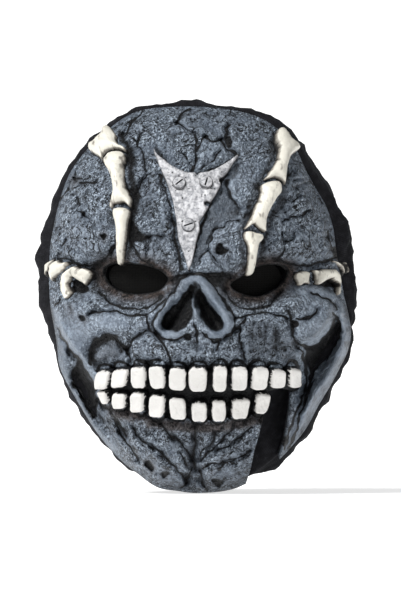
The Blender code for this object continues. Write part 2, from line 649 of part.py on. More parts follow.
def clear_scene():
    """Removes what the file holds, and adds the two collections and the materials."""
    for obj in list(bpy.data.objects):
        bpy.data.objects.remove(obj)
    for name in ("skull_mask", "cutters"):
        bpy.context.scene.collection.children.link(bpy.data.collections.new(name))
    for name, (colour, roughness, metallic) in MATERIALS.items():
        material = bpy.data.materials.new(name)
        material.use_nodes = True
        shader = material.node_tree.nodes["Principled BSDF"]
        shader.inputs["Base Color"].default_value = (*colour, 1)
        shader.inputs["Roughness"].default_value = roughness
        shader.inputs["Metallic"].default_value = metallic


def main():
    """Builds the mask, piece by piece."""
    clear_scene()
    make_face()
    make_hood()
    for side in EYE_HOLES:
        make_eye_panel(side)
    for row, teeth in (("upper", UPPER_TEETH), ("lower", LOWER_TEETH)):
        for number, tooth in enumerate(teeth, 1):
            make_tooth(f"{row}_tooth_{number:02d}", *tooth)
    for name, (points, halves) in BONES.items():
        make_bone(name, points, halves)
    make_plate()
    for name, screw in SCREWS.items():
        make_screw("plate_screw_" + name, *screw)


main()
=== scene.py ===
"""Looks of the skull mask: its cast and painted face, teeth, bones and plate, and the stretch hood behind it.

The face is drawn as the part's source draws it: "across" runs to the right and "up" runs up from just
under the chin, in drawing units of UNIT metres. Relief is pushed forward from a dome over that drawing, and
its paint is worked out with it: a dark wash where a place lies lower than what is round it, which is black
paint and painted shade in the hollows, and a pale dry brush where it stands higher. Both are kept as
attributes on the mesh, which the materials read.
"""

import json
import logging
import math
from dataclasses import dataclass, field
from enum import Enum

import bpy
import numpy as np
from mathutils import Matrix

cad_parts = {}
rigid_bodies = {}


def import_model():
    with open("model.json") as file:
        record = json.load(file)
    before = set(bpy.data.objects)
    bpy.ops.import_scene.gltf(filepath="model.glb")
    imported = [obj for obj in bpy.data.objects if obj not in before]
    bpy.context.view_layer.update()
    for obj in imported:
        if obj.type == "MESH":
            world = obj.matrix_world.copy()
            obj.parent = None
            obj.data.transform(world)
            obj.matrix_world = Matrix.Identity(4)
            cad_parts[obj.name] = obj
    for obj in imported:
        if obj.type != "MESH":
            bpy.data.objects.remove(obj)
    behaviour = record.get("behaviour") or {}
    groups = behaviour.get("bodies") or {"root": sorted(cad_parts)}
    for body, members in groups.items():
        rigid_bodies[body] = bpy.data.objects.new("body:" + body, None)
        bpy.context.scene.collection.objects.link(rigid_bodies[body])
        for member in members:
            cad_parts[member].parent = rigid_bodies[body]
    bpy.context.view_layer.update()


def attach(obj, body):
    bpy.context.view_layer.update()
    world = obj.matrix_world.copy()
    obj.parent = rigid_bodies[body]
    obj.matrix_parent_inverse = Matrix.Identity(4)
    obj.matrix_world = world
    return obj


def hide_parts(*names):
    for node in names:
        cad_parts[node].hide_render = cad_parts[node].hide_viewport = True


Array = np.ndarray
Material = bpy.types.Material
Piece = bpy.types.Object
Socket = bpy.types.NodeSocket

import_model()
LOG = logging.getLogger("skull_mask")

UNIT = 0.000625
MIDDLE = (-2.0, 205.0)
ORIGIN = (-0.00125, 0.02728, 0.245625)
RIM_TO_FRONT = 0.070
DOME_SHARE = 0.93
RELIEF = 0.010
WALL = 0.0026
HOOD_GAP = 0.0009
HOOD_SET = 0.0115
HOOD_BAND = 0.0125
HOOD_DEPTH = 0.124
HOOD_FLARE = 0.016
BACK_ROUNDNESS = 2.5
NECK_FRONT = 0.013
NECK_RISE = 0.30


class Row(Enum):
    """The two rows of teeth."""

    UPPER = "upper"
    LOWER = "lower"


class Stroke(Enum):
    """What a drawn line does to the face."""

    CRACK = "crack"
    CREASE = "crease"
    RIDGE = "ridge"
    SHADE = "shade"


# Curves and noise on the drawing


def smooth_line(points: Array, count: int, closed: bool = False) -> Array:
    """Runs a smooth curve through points.

    Args:
        points: places that the curve passes through, in order.
        count: how many places to return, at even steps.
        closed: whether the curve comes back to its first point.

    Returns:
        The places on the curve, one row each.
    """
    base = np.array(points, float)
    if closed:
        ends = np.vstack([base[-1], base, base[0], base[1]])
    else:
        ends = np.vstack([2 * base[0] - base[1], base, 2 * base[-1] - base[-2]])
    pieces = []
    for p0, p1, p2, p3 in zip(ends, ends[1:], ends[2:], ends[3:]):
        t = np.linspace(0, 1, 10, endpoint=False)[:, None]
        bend = 2 * p0 - 5 * p1 + 4 * p2 - p3
        twist = 3 * p1 - p0 - 3 * p2 + p3
        pieces.append(0.5 * (2 * p1 + (p2 - p0) * t + bend * t**2 + twist * t**3))
    dense = np.vstack([*pieces, ends[-2]])
    run = np.concatenate([[0], np.cumsum(np.linalg.norm(np.diff(dense, axis=0), axis=1))])
    steps = np.linspace(0, run[-1], count + int(closed))[:count]
    return np.stack([np.interp(steps, run, dense[:, k]) for k in range(2)], axis=1)


def smooth_step(low: float, high: float, value: Array) -> Array:
    """Rises smoothly from 0 at low to 1 at high."""
    t = np.clip((value - low) / (high - low), 0, 1)
    return t * t * (3 - 2 * t)


def lattice(ix: Array, iy: Array, seed: int) -> Array:
    """Returns a repeatable random number from 0 to 1 for each cell of a lattice."""
    mask = np.int64(0xFFFFFFFF)
    mixed = (ix.astype(np.int64) * 374761393 + iy.astype(np.int64) * 668265263 + seed * 974634777) & mask
    mixed = ((mixed ^ (mixed >> 13)) * 1274126177) & mask
    return ((mixed ^ (mixed >> 16)) & 0xFFFF) / 65535.0


def lumps(u: Array, v: Array, size: float, seed: int, octaves: int = 1) -> Array:
    """Makes smooth random lumps.

    Args:
        u: places across.
        v: places up.
        size: width of the largest lumps, in the units of u and v.
        seed: which set of lumps.
        octaves: how many times to add lumps of half the size and height.

    Returns:
        Values round 0, mostly from -1 to 1.
    """
    total = np.zeros(np.shape(u))
    share = 1.0
    for _ in range(octaves):
        x, y = u / size, v / size
        ix, iy = np.floor(x), np.floor(y)
        fx, fy = x - ix, y - iy
        wx, wy = fx * fx * fx * (fx * (6 * fx - 15) + 10), fy * fy * fy * (fy * (6 * fy - 15) + 10)
        low = lattice(ix, iy, seed) * (1 - wx) + lattice(ix + 1, iy, seed) * wx
        high = lattice(ix, iy + 1, seed) * (1 - wx) + lattice(ix + 1, iy + 1, seed) * wx
        total += share * (2 * (low * (1 - wy) + high * wy) - 1)
        share *= 0.5
        size *= 0.5
        seed += 17
    return total


def cells(u: Array, v: Array, size: float, seed: int) -> tuple[Array, Array, Array]:
    """Finds the nearest random spots.

    Args:
        u: places across.
        v: places up.
        size: mean distance between the spots.
        seed: which set of spots.

    Returns:
        Distances to the nearest and the next spot, as shares of size, and a random number of the nearest.
    """
    x, y = u / size, v / size
    ix, iy = np.floor(x), np.floor(y)
    first = np.full(np.shape(u), 9.0)
    second = np.full(np.shape(u), 9.0)
    number = np.zeros(np.shape(u))
    for dx in (-1, 0, 1):
        for dy in (-1, 0, 1):
            cx, cy = ix + dx, iy + dy
            far = np.hypot(cx + lattice(cx, cy, seed) - x, cy + lattice(cx, cy, seed + 5) - y)
            nearer = far < first
            second = np.where(nearer, first, np.minimum(second, far))
            number = np.where(nearer, lattice(cx, cy, seed + 9), number)
            first = np.where(nearer, far, first)
    return first, second, number


def line_distance(u: Array, v: Array, line: Array, reach: float) -> Array:
    """Measures how far places lie from a line.

    Args:
        u: places across.
        v: places up.
        line: the line's places, one row each.
        reach: past this distance the result is only known to be larger.

    Returns:
        The distances, with reach or more where a place lies further off.
    """
    result = np.full(np.shape(u), float(reach))
    low, high = line.min(axis=0) - reach, line.max(axis=0) + reach
    near = np.flatnonzero((u > low[0]) & (u < high[0]) & (v > low[1]) & (v < high[1]))
    if not len(near):
        return result
    p = np.stack([u[near], v[near]], axis=1)
    best = np.full(len(near), float(reach) ** 2)
    for a, b in zip(line, line[1:]):
        step = b - a
        t = np.clip(((p - a) @ step) / max(float(step @ step), 1e-9), 0, 1)
        best = np.minimum(best, ((p - a - t[:, None] * step) ** 2).sum(axis=1))
    result[near] = np.sqrt(best)
    return result


def inside(u: Array, v: Array, outline: Array) -> Array:
    """Says which places lie inside a closed outline."""
    result = np.zeros(np.shape(u), bool)
    for (ax, ay), (bx, by) in zip(outline, np.roll(outline, -1, axis=0)):
        crosses = (ay > v) != (by > v)
        if ay != by:
            result ^= crosses & (u < (bx - ax) * (v - ay) / (by - ay) + ax)
    return result


def depth_inside(u: Array, v: Array, outline: Array, reach: float) -> Array:
    """Measures how far inside a closed outline places lie, below 0 outside, up to reach each way."""
    far = line_distance(u, v, np.vstack([outline, outline[:1]]), reach)
    return np.where(inside(u, v, outline), far, -far)


# The form of the face


@dataclass(frozen=True)
class FaceForm:
    """The bare dome of the face and its broad relief, shared by all that lies on the face."""

    outline: tuple = ((-2, 393), (26, 391), (50, 386), (69, 378), (86, 365), (98, 350), (107, 331),
        (116, 314), (128, 293), (135, 272), (138, 250), (142, 226), (146, 204), (151, 182), (153, 166),
        (150, 148), (142, 131), (132, 112), (121, 94), (108, 70), (92, 50), (74, 32), (47, 14), (26, 7),
        (-2, 5), (-21, 7), (-42, 11), (-62, 25), (-78, 38), (-92, 53), (-105, 70), (-115, 86), (-125, 103),
        (-134, 119), (-140, 134), (-142, 152), (-145, 172), (-149, 195), (-150, 222), (-149, 250),
        (-145, 275), (-138, 303), (-128, 328), (-111, 351), (-91, 370), (-69, 385), (-48, 391), (-25, 393))
    # Name, across, up, half width, half height, turn in degrees, edge, share of RELIEF.
    lobes: tuple = (
        ("mouth_bulge", 0, 118, 104, 62, 0, 2, 0.75),
        ("nose_root", -6, 186, 52, 50, 0, 2, 0.50),
        ("temple_lobe_left", -112, 288, 46, 46, 0, 4, 0.50),
        ("brow_wedge_left", -45, 264, 30, 30, -20, 4, 0.32),
        ("brow_wedge_right", 22, 264, 34, 38, 0, 4, 0.38),
        ("temple_lobe_right", 106, 288, 42, 48, 8, 4, 0.52),
        ("crown", 0, 350, 80, 36, 0, 2, 0.22),
        ("eye_socket_left", -66, 218, 46, 21, -6, 4, -0.95),
        ("eye_socket_right", 61, 217, 42, 21, 8, 4, -0.95),
        ("temple_hollow_left", -126, 214, 24, 16, 0, 4, -0.35),
        ("temple_hollow_right", 122, 218, 26, 14, 0, 4, -0.35),
        ("cheekbone_left", -112, 170, 46, 24, -38, 4, 0.62),
        ("cheek_hollow_left", -92, 146, 30, 20, -12, 4, -0.85),
        ("jaw_hollow_left", -112, 106, 11, 44, 28, 4, -0.75),
        ("cheek_ball_right", 111, 181, 31, 27, 0, 4, 0.95),
        ("jaw_hollow_right", 119, 137, 13, 42, -32, 4, -1.05),
        ("chin_lobe_left", -44, 33, 44, 24, -28, 4, 0.55),
        ("chin_lobe_right", 28, 28, 34, 24, 10, 4, 0.55),
        ("chin_cleft", -6, 22, 9, 30, 0, 4, -0.75),
        ("nostril_left", -24, 188, 8, 25, -32, 4, -1.15),
        ("nostril_right", 9, 188, 7, 25, 34, 4, -1.15),
        ("tooth_bed", -4, 108, 106, 22, -1, 6, -0.34),
    )
    angles: list = field(default_factory=list)
    reaches: list = field(default_factory=list)

    def __post_init__(self) -> None:
        """Works out the outline as distances from the middle of the dome."""
        offsets = smooth_line(self.outline, 720, closed=True) - MIDDLE
        angle = np.arctan2(offsets[:, 1], offsets[:, 0]) % (2 * math.pi)
        order = np.argsort(angle)
        self.angles.extend(angle[order])
        self.reaches.extend(np.hypot(*offsets.T)[order])

    def reach(self, angle: Array) -> Array:
        """Returns the distance from the middle of the dome to the edge of the face, in drawing units."""
        return np.interp(angle % (2 * math.pi), self.angles, self.reaches, period=2 * math.pi)

    def spread(self, u: Array, v: Array) -> Array:
        """Returns how far out places lie on the dome: 0 at its middle, 1 at the edge."""
        du, dv = u - MIDDLE[0], v - MIDDLE[1]
        return np.hypot(du, dv) / self.reach(np.arctan2(dv, du))

    def dome(self, u: Array, v: Array) -> tuple[Array, Array]:
        """Places points on the bare dome.

        Args:
            u: places across.
            v: places up.

        Returns:
            The points in metres from the part's origin, and their outward normals.
        """
        u, v = np.asarray(u, float), np.asarray(v, float)
        rho = np.clip(self.spread(u, v), 0, 1)
        cut_level = math.sqrt(1 - DOME_SHARE**2)
        ball = np.sqrt(1 - (DOME_SHARE * rho) ** 2)
        level = (ball - cut_level) / (1 - cut_level)
        steep = RIM_TO_FRONT * DOME_SHARE**2 * rho / (ball * (1 - cut_level))
        slope_u = (self.spread(u + 1, v) - self.spread(u - 1, v)) / (2 * UNIT)
        slope_v = (self.spread(u, v + 1) - self.spread(u, v - 1)) / (2 * UNIT)
        normals = np.stack([steep * slope_u, -np.ones_like(rho), steep * slope_v], axis=-1)
        normals /= np.linalg.norm(normals, axis=-1, keepdims=True)
        points = np.stack([u * UNIT, -RIM_TO_FRONT * level, v * UNIT], axis=-1) - ORIGIN
        return points, normals

    def broad(self, u: Array, v: Array) -> Array:
        """Returns the height of the broad lobes and hollows, in metres."""
        height = np.zeros(np.shape(u))
        for _, cu, cv, half_wide, half_tall, turn, edge, share in self.lobes:
            c, s = math.cos(math.radians(turn)), math.sin(math.radians(turn))
            du, dv = u - cu, v - cv
            far = np.hypot((du * c + dv * s) / half_wide, (dv * c - du * s) / half_tall)
            height += RELIEF * share * np.exp(-0.7 * far**edge)
        return height

    def fade(self, u: Array, v: Array) -> Array:
        """Returns 1 over the face, falling to 0 at its edge, where the relief runs out."""
        inward = np.clip((1 - self.spread(u, v)) / 0.16, 0, 1)
        return inward * (2 - inward)

    def raised(self, u: Array, v: Array, relief: Array) -> tuple[Array, Array]:
        """Pushes relief forward from the dome.

        Args:
            u: places across.
            v: places up.
            relief: height over the dome in metres.

        Returns:
            The raised points and the dome's normals.
        """
        points, normals = self.dome(u, v)
        points[..., 1] -= relief / np.maximum(-normals[..., 1], 0.45)
        return points, normals

    def room(self, u: Array, v: Array) -> Array:
        """Returns how far the face may dip under its dome before its wall meets the hood, in metres."""
        return HOOD_GAP + HOOD_SET * smooth_step(0, 0.10, 1 - self.spread(u, v))

    def lining(self, u: Array, v: Array) -> Array:
        """Returns points of the hood where it passes behind the face."""
        points, normals = self.dome(u, v)
        return points - normals * (WALL + self.room(u, v))[..., None]


FORM = FaceForm()


# Materials


class Graph:
    """A small helper that builds a material's nodes."""

    def __init__(self, name: str) -> None:
        """Makes a material with a bare surface shader.

        Args:
            name: the material's name.
        """
        self.material = bpy.data.materials.new(name)
        self.material.use_nodes = True
        self.nodes = self.material.node_tree.nodes
        self.links = self.material.node_tree.links
        self.nodes.clear()
        self.output = self.nodes.new("ShaderNodeOutputMaterial")
        self.shader = self.nodes.new("ShaderNodeBsdfPrincipled")
        self.links.new(self.shader.outputs[0], self.output.inputs[0])

    def add(self, kind: str, **settings: object) -> bpy.types.Node:
        """Adds a node and sets its own properties."""
        node = self.nodes.new(kind)
        for key, value in settings.items():
            setattr(node, key, value)
        return node

    def put(self, socket: Socket, value: object) -> None:
        """Links an output to a socket, or sets the socket to a value."""
        if isinstance(value, Socket):
            self.links.new(value, socket)
        else:
            socket.default_value = value

    def place(self) -> Socket:
        """Returns the place on the object, in metres."""
        return self.add("ShaderNodeTexCoord").outputs["Object"]

    def attribute(self, name: str) -> Socket:
        """Returns the value of an attribute of the mesh."""
        return self.add("ShaderNodeAttribute", attribute_name=name).outputs["Fac"]

    def noise(
        self, place: object, scale: float, detail: float = 3.0, rough: float = 0.55, twist: float = 0.0
    ) -> Socket:
        """Returns smooth noise, with the scale in lumps for each metre, twisted into wrinkles where asked."""
        node = self.add("ShaderNodeTexNoise")
        self.put(node.inputs["Vector"], place)
        node.inputs["Scale"].default_value = scale
        node.inputs["Detail"].default_value = detail
        node.inputs["Roughness"].default_value = rough
        node.inputs["Distortion"].default_value = twist
        return node.outputs["Fac"]

    def shift(self, place: object, step: tuple[float, float, float]) -> Socket:
        """Returns a place moved by a step in metres."""
        node = self.add("ShaderNodeVectorMath", operation="ADD")
        self.put(node.inputs[0], place)
        self.put(node.inputs[1], step)
        return node.outputs[0]

    def math(self, operation: str, first: object, second: object = 0.5, clamp: bool = False) -> Socket:
        """Returns a sum, product or other result of two values."""
        node = self.add("ShaderNodeMath", operation=operation, use_clamp=clamp)
        self.put(node.inputs[0], first)
        self.put(node.inputs[1], second)
        return node.outputs[0]

    def times(self, first: object, second: object) -> Socket:
        """Returns the product of two values."""
        return self.math("MULTIPLY", first, second)

    def threads(self, axis: str, pitch: float) -> Socket:
        """Returns rounded threads side by side along one axis of the UV map.

        Args:
            axis: which axis they follow each other on.
            pitch: how far apart they lie, in metres.

        Returns:
            The height, from 0 between the threads to 1 on them.
        """
        split = self.add("ShaderNodeSeparateXYZ")
        self.put(split.inputs[0], self.add("ShaderNodeUVMap", uv_map="UVMap").outputs["UV"])
        wave = self.math("SINE", self.times(split.outputs[axis], math.pi / pitch))
        return self.math("ABSOLUTE", wave)

    def ramp(self, value: object, low: float, high: float) -> Socket:
        """Returns a value that rises smoothly from 0 at low to 1 at high."""
        node = self.add("ShaderNodeMapRange", interpolation_type="SMOOTHSTEP")
        self.put(node.inputs["Value"], value)
        node.inputs["From Min"].default_value = low
        node.inputs["From Max"].default_value = high
        return node.outputs["Result"]

    def mix(self, factor: object, first: object, second: object) -> Socket:
        """Returns a blend of two colours."""
        node = self.add("ShaderNodeMix", data_type="RGBA")
        self.put(node.inputs[0], factor)
        self.put(node.inputs[6], first)
        self.put(node.inputs[7], second)
        return node.outputs[2]

    def bump(self, height: object, distance: float, strength: float = 1.0, under: object = None) -> object:
        """Returns a normal that follows a height, with the height's full range in metres."""
        node = self.add("ShaderNodeBump")
        node.inputs["Strength"].default_value = strength
        node.inputs["Distance"].default_value = distance
        self.put(node.inputs["Height"], height)
        if under is not None:
            self.put(node.inputs["Normal"], under)
        return node.outputs["Normal"]

    def finish(
        self, specular: float, colour: object, roughness: object, normal: object = None
    ) -> Material:
        """Joins the results to the surface shader.

        Args:
            specular: how strongly the surface mirrors.
            colour: the base colour.
            roughness: the roughness.
            normal: the surface normal, if any.

        Returns:
            The material.
        """
        self.shader.inputs["Specular IOR Level"].default_value = specular
        self.put(self.shader.inputs["Base Color"], colour)
        self.put(self.shader.inputs["Roughness"], roughness)
        if normal is not None:
            self.put(self.shader.inputs["Normal"], normal)
        return self.material


Colour = tuple[float, float, float, float]


@dataclass(frozen=True)
class StonePaint:
    """Grey-blue paint with a black and brown wash and a pale dry brush, on latex cast like rough stone.
    Each fine bump carries a painted highlight on its side towards the key light at the upper left, and
    painted shade on its far side.

    Each scale says how many lumps of that noise lie on a metre.
    """

    mid: Colour = (0.180, 0.214, 0.262, 1)
    deep: Colour = (0.104, 0.129, 0.166, 1)
    pale: Colour = (0.52, 0.61, 0.71, 1)
    black: Colour = (0.0030, 0.0033, 0.0040, 1)
    brown: Colour = (0.062, 0.047, 0.042, 1)
    away_from_light: tuple = (0.00042, 0.0, -0.00042)  # a step down to the right, away from the key light, which lays the painted highlight and painted shade
    patch_scale: float = 42.0
    mottle_scale: float = 90.0
    fold_scale: float = 150.0
    pumice_scale: float = 300.0
    fine_scale: float = 560.0
    depth: float = 0.0034

    def build(self) -> Material:
        """Returns the material, which reads the attributes wash, brush, stain, crack and rough."""
        g = Graph("stone_paint")
        place = g.place()
        rough = g.attribute("rough")
        mottle = g.noise(place, self.mottle_scale, 4.0, 0.6)
        pumice = g.noise(place, self.pumice_scale, 2.0, 0.60, 0.7)
        fine = g.noise(place, self.fine_scale, 3.0, 0.62, 0.5)
        base = g.mix(g.ramp(mottle, 0.36, 0.64), self.deep, self.mid)
        # painted highlight and painted shade: the fine noise a step away from the key light, against the
        # noise here, says which side of each bump faces the light
        fine_away_from_light = g.noise(g.shift(place, self.away_from_light), self.fine_scale, 3.0, 0.62, 0.5)
        slope = g.math("SUBTRACT", fine_away_from_light, fine)
        patches = g.ramp(g.noise(place, self.patch_scale, 3.0, 0.6), 0.40, 0.58)
        # how much of that painted light shows: on the rough places, more in random patches
        worn = g.times(rough, g.math("ADD", g.times(patches, 0.70), 0.30))
        painted_highlight = g.times(g.ramp(slope, 0.01, 0.13), g.times(worn, 0.90))
        painted_shade = g.times(g.ramp(slope, -0.02, -0.13), g.times(worn, 0.95))
        brush = g.times(g.attribute("brush"), g.times(g.ramp(fine, 0.40, 0.66), 0.42))
        # the pale dry brush, with the painted highlight on top
        pale = g.math("ADD", brush, painted_highlight, clamp=True)
        base = g.mix(pale, base, self.pale)
        stain = g.math("MULTIPLY", g.attribute("stain"), g.ramp(mottle, 0.20, 0.50), clamp=True)
        base = g.mix(stain, base, self.brown)
        # dark flecks: black paint and painted shadow in the small pits
        flecks = g.times(g.ramp(fine, 0.455, 0.38), g.times(rough, g.ramp(pumice, 0.66, 0.47)))
        ragged = g.times(g.math("SUBTRACT", fine, 0.5), 0.5)
        wash = g.ramp(g.math("ADD", g.attribute("wash"), ragged), 0.18, 0.95)
        crack = g.ramp(g.math("ADD", g.attribute("crack"), g.times(ragged, 2.2)), 1.35, 0.75)
        folds = g.noise(place, self.fold_scale, 3.0, 0.58, 1.1)
        fold = g.math("ABSOLUTE", g.math("SUBTRACT", folds, 0.5))
        thread = g.times(g.ramp(fold, 0.046, 0.012), g.times(rough, g.ramp(mottle, 0.40, 0.55)))
        flecks = g.math("MAXIMUM", g.math("MAXIMUM", g.times(flecks, 0.9), painted_shade), thread)
        dark = g.math("MAXIMUM", g.math("MAXIMUM", wash, crack), flecks)
        base = g.mix(dark, base, self.black)
        roughness = g.math("ADD", g.times(fine, 0.25), 0.36)
        weight = g.math("ADD", g.times(rough, 0.85), 0.15)
        skin = g.times(g.math("ADD", g.times(fine, 0.8), pumice), weight)
        cut = g.math("MAXIMUM", g.times(crack, 0.30), g.times(thread, 0.22))
        height = g.math("SUBTRACT", skin, cut)
        return g.finish(0.30, base, roughness, g.bump(height, self.depth, 1.0))


@dataclass(frozen=True)
class ToothPaint:
    """Thick white paint that is worn ragged at its edges, over the black ground."""

    white: Colour = (0.59, 0.577, 0.555, 1)
    shade: Colour = (0.42, 0.405, 0.385, 1)
    black: Colour = (0.006, 0.006, 0.007, 1)

    def build(self) -> Material:
        """Returns the material, which reads the attribute wash."""
        g = Graph("tooth_white")
        place = g.place()
        rag = g.noise(place, 520.0, 3.0, 0.6)
        fine = g.noise(place, 1500.0, 3.0, 0.6)
        base = g.mix(g.ramp(rag, 0.16, 0.40), self.shade, self.white)
        wash = g.math("ADD", g.attribute("wash"), g.times(g.math("SUBTRACT", rag, 0.5), 0.9))
        base = g.mix(g.ramp(wash, 0.60, 0.78), base, self.black)
        normal = g.bump(fine, 0.0003, 0.5, g.bump(rag, 0.0010, 0.6))
        return g.finish(0.30, base, 0.42, normal)


@dataclass(frozen=True)
class BonePaint:
    """Ivory paint with grey-brown wash in the creases."""

    ivory: Colour = (0.66, 0.635, 0.56, 1)
    grey: Colour = (0.24, 0.22, 0.19, 1)
    black: Colour = (0.010, 0.009, 0.008, 1)

    def build(self) -> Material:
        """Returns the material, which reads the attribute wash."""
        g = Graph("bone_ivory")
        place = g.place()
        mottle = g.noise(place, 300.0, 4.0, 0.6)
        fine = g.noise(place, 1200.0, 3.0, 0.6)
        wash = g.math("ADD", g.attribute("wash"), g.times(g.math("SUBTRACT", mottle, 0.5), 0.7))
        base = g.mix(g.ramp(wash, 0.06, 0.46), self.ivory, self.grey)
        base = g.mix(g.ramp(wash, 0.46, 0.80), base, self.black)
        normal = g.bump(fine, 0.0003, 0.4, g.bump(mottle, 0.0009, 0.45))
        return g.finish(0.45, base, 0.45, normal)


@dataclass(frozen=True)
class PlatePaint:
    """Silver-grey paint, brushed pale on a rough cast plate."""

    silver: Colour = (0.47, 0.47, 0.485, 1)
    dull: Colour = (0.22, 0.225, 0.24, 1)
    black: Colour = (0.012, 0.012, 0.014, 1)

    def build(self) -> Material:
        """Returns the material, which reads the attribute wash."""
        g = Graph("plate_silver")
        place = g.place()
        mottle = g.noise(place, 420.0, 5.0, 0.65)
        fine = g.noise(place, 1600.0, 3.0, 0.6)
        base = g.mix(g.ramp(mottle, 0.36, 0.58), self.dull, self.silver)
        wash = g.math("ADD", g.attribute("wash"), g.times(g.math("SUBTRACT", fine, 0.5), 0.5))
        base = g.mix(g.ramp(wash, 0.25, 0.85), base, self.black)
        g.shader.inputs["Metallic"].default_value = 0.15
        normal = g.bump(fine, 0.0003, 0.5, g.bump(mottle, 0.0009, 0.6))
        return g.finish(0.3, base, g.math("ADD", g.times(fine, 0.2), 0.33), normal)


@dataclass(frozen=True)
class HoodCloth:
    """Black knitted stretch cloth with a fine rib."""

    black: Colour = (0.0045, 0.0045, 0.0058, 1)
    worn: Colour = (0.020, 0.020, 0.024, 1)
    rib: float = 0.0011
    row: float = 0.0009

    def build(self) -> Material:
        """Returns the material, which runs its rib along the piece's UV map."""
        g = Graph("hood_knit")
        rib, row = g.threads("X", self.rib), g.threads("Y", self.row)
        knit = g.times(g.math("POWER", rib, 0.6), g.math("ADD", g.times(row, 0.5), 0.5))
        lint = g.noise(g.place(), 240.0, 4.0, 0.6)
        base = g.mix(g.times(g.ramp(lint, 0.40, 0.75), knit), self.black, self.worn)
        g.shader.inputs["Sheen Weight"].default_value = 0.05
        g.shader.inputs["Sheen Roughness"].default_value = 0.45
        g.shader.inputs["Sheen Tint"].default_value = (0.75, 0.78, 0.85, 1)
        normal = g.bump(knit, 0.0004, 0.5, g.bump(lint, 0.001, 0.15))
        return g.finish(0.12, base, 0.85, normal)


@dataclass(frozen=True)
class EyeNet:
    """Fine black net."""

    black: Colour = (0.0030, 0.0030, 0.0030, 1)
    thread: Colour = (0.0055, 0.0053, 0.0050, 1)
    pitch: float = 0.0011

    def build(self) -> Material:
        """Returns the material, whose threads cross on the piece's UV map."""
        g = Graph("eye_net")
        net = g.math("SUBTRACT", 1.0, g.times(g.threads("X", self.pitch), g.threads("Y", self.pitch)))
        base = g.mix(g.ramp(net, 0.45, 0.75), self.black, self.thread)
        return g.finish(0.08, base, 0.8, g.bump(net, 0.0003, 0.6))


@dataclass(frozen=True)
class FloorPaint:
    """The plain pale floor."""

    white: Colour = (0.93, 0.93, 0.93, 1)
    glow: float = 0.75

    def build(self) -> Material:
        """Returns the material."""
        g = Graph("floor_white")
        g.shader.inputs["Emission Color"].default_value = self.white
        g.shader.inputs["Emission Strength"].default_value = self.glow
        return g.finish(0.1, self.white, 0.85)


# Modelling helpers


def deselect_all() -> None:
    """Leaves nothing selected, so that an operator acts only on what is picked next."""
    if bpy.context.object is not None and bpy.context.object.mode != "OBJECT":
        bpy.ops.object.mode_set(mode="OBJECT")
    for obj in bpy.context.view_layer.objects:
        obj.select_set(False)


def pick(obj: Piece) -> None:
    """Selects one object alone and makes it the active one."""
    deselect_all()
    obj.select_set(True)
    bpy.context.view_layer.objects.active = obj


def points_of(obj: Piece) -> Array:
    """Returns the places of an object's vertices."""
    points = np.empty(len(obj.data.vertices) * 3)
    obj.data.vertices.foreach_get("co", points)
    return points.reshape(-1, 3)


def set_points(obj: Piece, points: Array) -> None:
    """Moves an object's vertices."""
    obj.data.vertices.foreach_set("co", points.astype(np.float32).ravel())
    obj.data.update()


def set_attribute(obj: Piece, name: str, values: Array) -> None:
    """Keeps one number for each vertex under a name."""
    attributes = obj.data.attributes
    layer = attributes.get(name) or attributes.new(name, "FLOAT", "POINT")
    layer.data.foreach_set("value", np.asarray(values, np.float32))


def get_attribute(obj: Piece, name: str) -> Array:
    """Returns the numbers kept for the vertices under a name."""
    values = np.empty(len(obj.data.vertices), np.float32)
    obj.data.attributes[name].data.foreach_get("value", values)
    return values.astype(float)


def set_uv(obj: Piece, places: Array) -> None:
    """Gives each vertex one place on the UV map, in metres."""
    layer = obj.data.uv_layers.get("UVMap") or obj.data.uv_layers.new(name="UVMap")
    corners = np.empty(len(obj.data.loops), np.int32)
    obj.data.loops.foreach_get("vertex_index", corners)
    layer.data.foreach_set("uv", places[corners].astype(np.float32).ravel())


def apply_modifiers(obj: Piece) -> None:
    """Applies all modifiers of an object, in order."""
    pick(obj)
    for modifier in list(obj.modifiers):
        bpy.ops.object.modifier_apply(modifier=modifier.name)


def delete_where(obj: Piece, marked: Array) -> None:
    """Deletes the marked vertices and what hangs on them."""
    pick(obj)
    obj.data.polygons.foreach_set("select", np.zeros(len(obj.data.polygons), bool))
    obj.data.edges.foreach_set("select", np.zeros(len(obj.data.edges), bool))
    obj.data.vertices.foreach_set("select", marked)
    bpy.ops.object.mode_set(mode="EDIT")
    bpy.ops.mesh.select_mode(type="VERT")
    bpy.ops.mesh.delete(type="VERT")
    bpy.ops.object.mode_set(mode="OBJECT")


def thicken(obj: Piece, thickness: float) -> None:
    """Gives a sheet a wall under its surface, in metres."""
    wall = obj.modifiers.new("wall", "SOLIDIFY")
    wall.thickness = thickness
    wall.offset = -1
    apply_modifiers(obj)


def smooth(obj: Piece) -> None:
    """Shades an object smooth."""
    pick(obj)
    bpy.ops.object.shade_smooth()


def dress(obj: Piece, material: Material, nodes: list[str]) -> None:
    """Gives a piece its material, hangs it on the root body and hides the CAD nodes that it replaces.

    Args:
        obj: the piece.
        material: its finish.
        nodes: the CAD nodes that it replaces.
    """
    obj.data.materials.clear()
    obj.data.materials.append(material)
    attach(obj, "root")
    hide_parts(*nodes)
    LOG.info("%s: %d faces", obj.name, len(obj.data.polygons))


def new_grid(name: str, columns: int, rows: int) -> Piece:
    """Adds a flat grid from -1 to 1 and names it."""
    deselect_all()
    bpy.ops.mesh.primitive_grid_add(x_subdivisions=columns, y_subdivisions=rows, size=2, location=(0, 0, 0))
    obj = bpy.context.object
    obj.name = name
    obj.data.name = name
    return obj


def copy_piece(obj: Piece, name: str) -> Piece:
    """Copies a piece with a mesh of its own."""
    pick(obj)
    bpy.ops.object.duplicate(linked=False)
    twin = bpy.context.object
    twin.name = name
    twin.data.name = name
    return twin


def remove(obj: Piece) -> None:
    """Removes a piece that only served as a pattern."""
    bpy.data.objects.remove(obj, do_unlink=True)


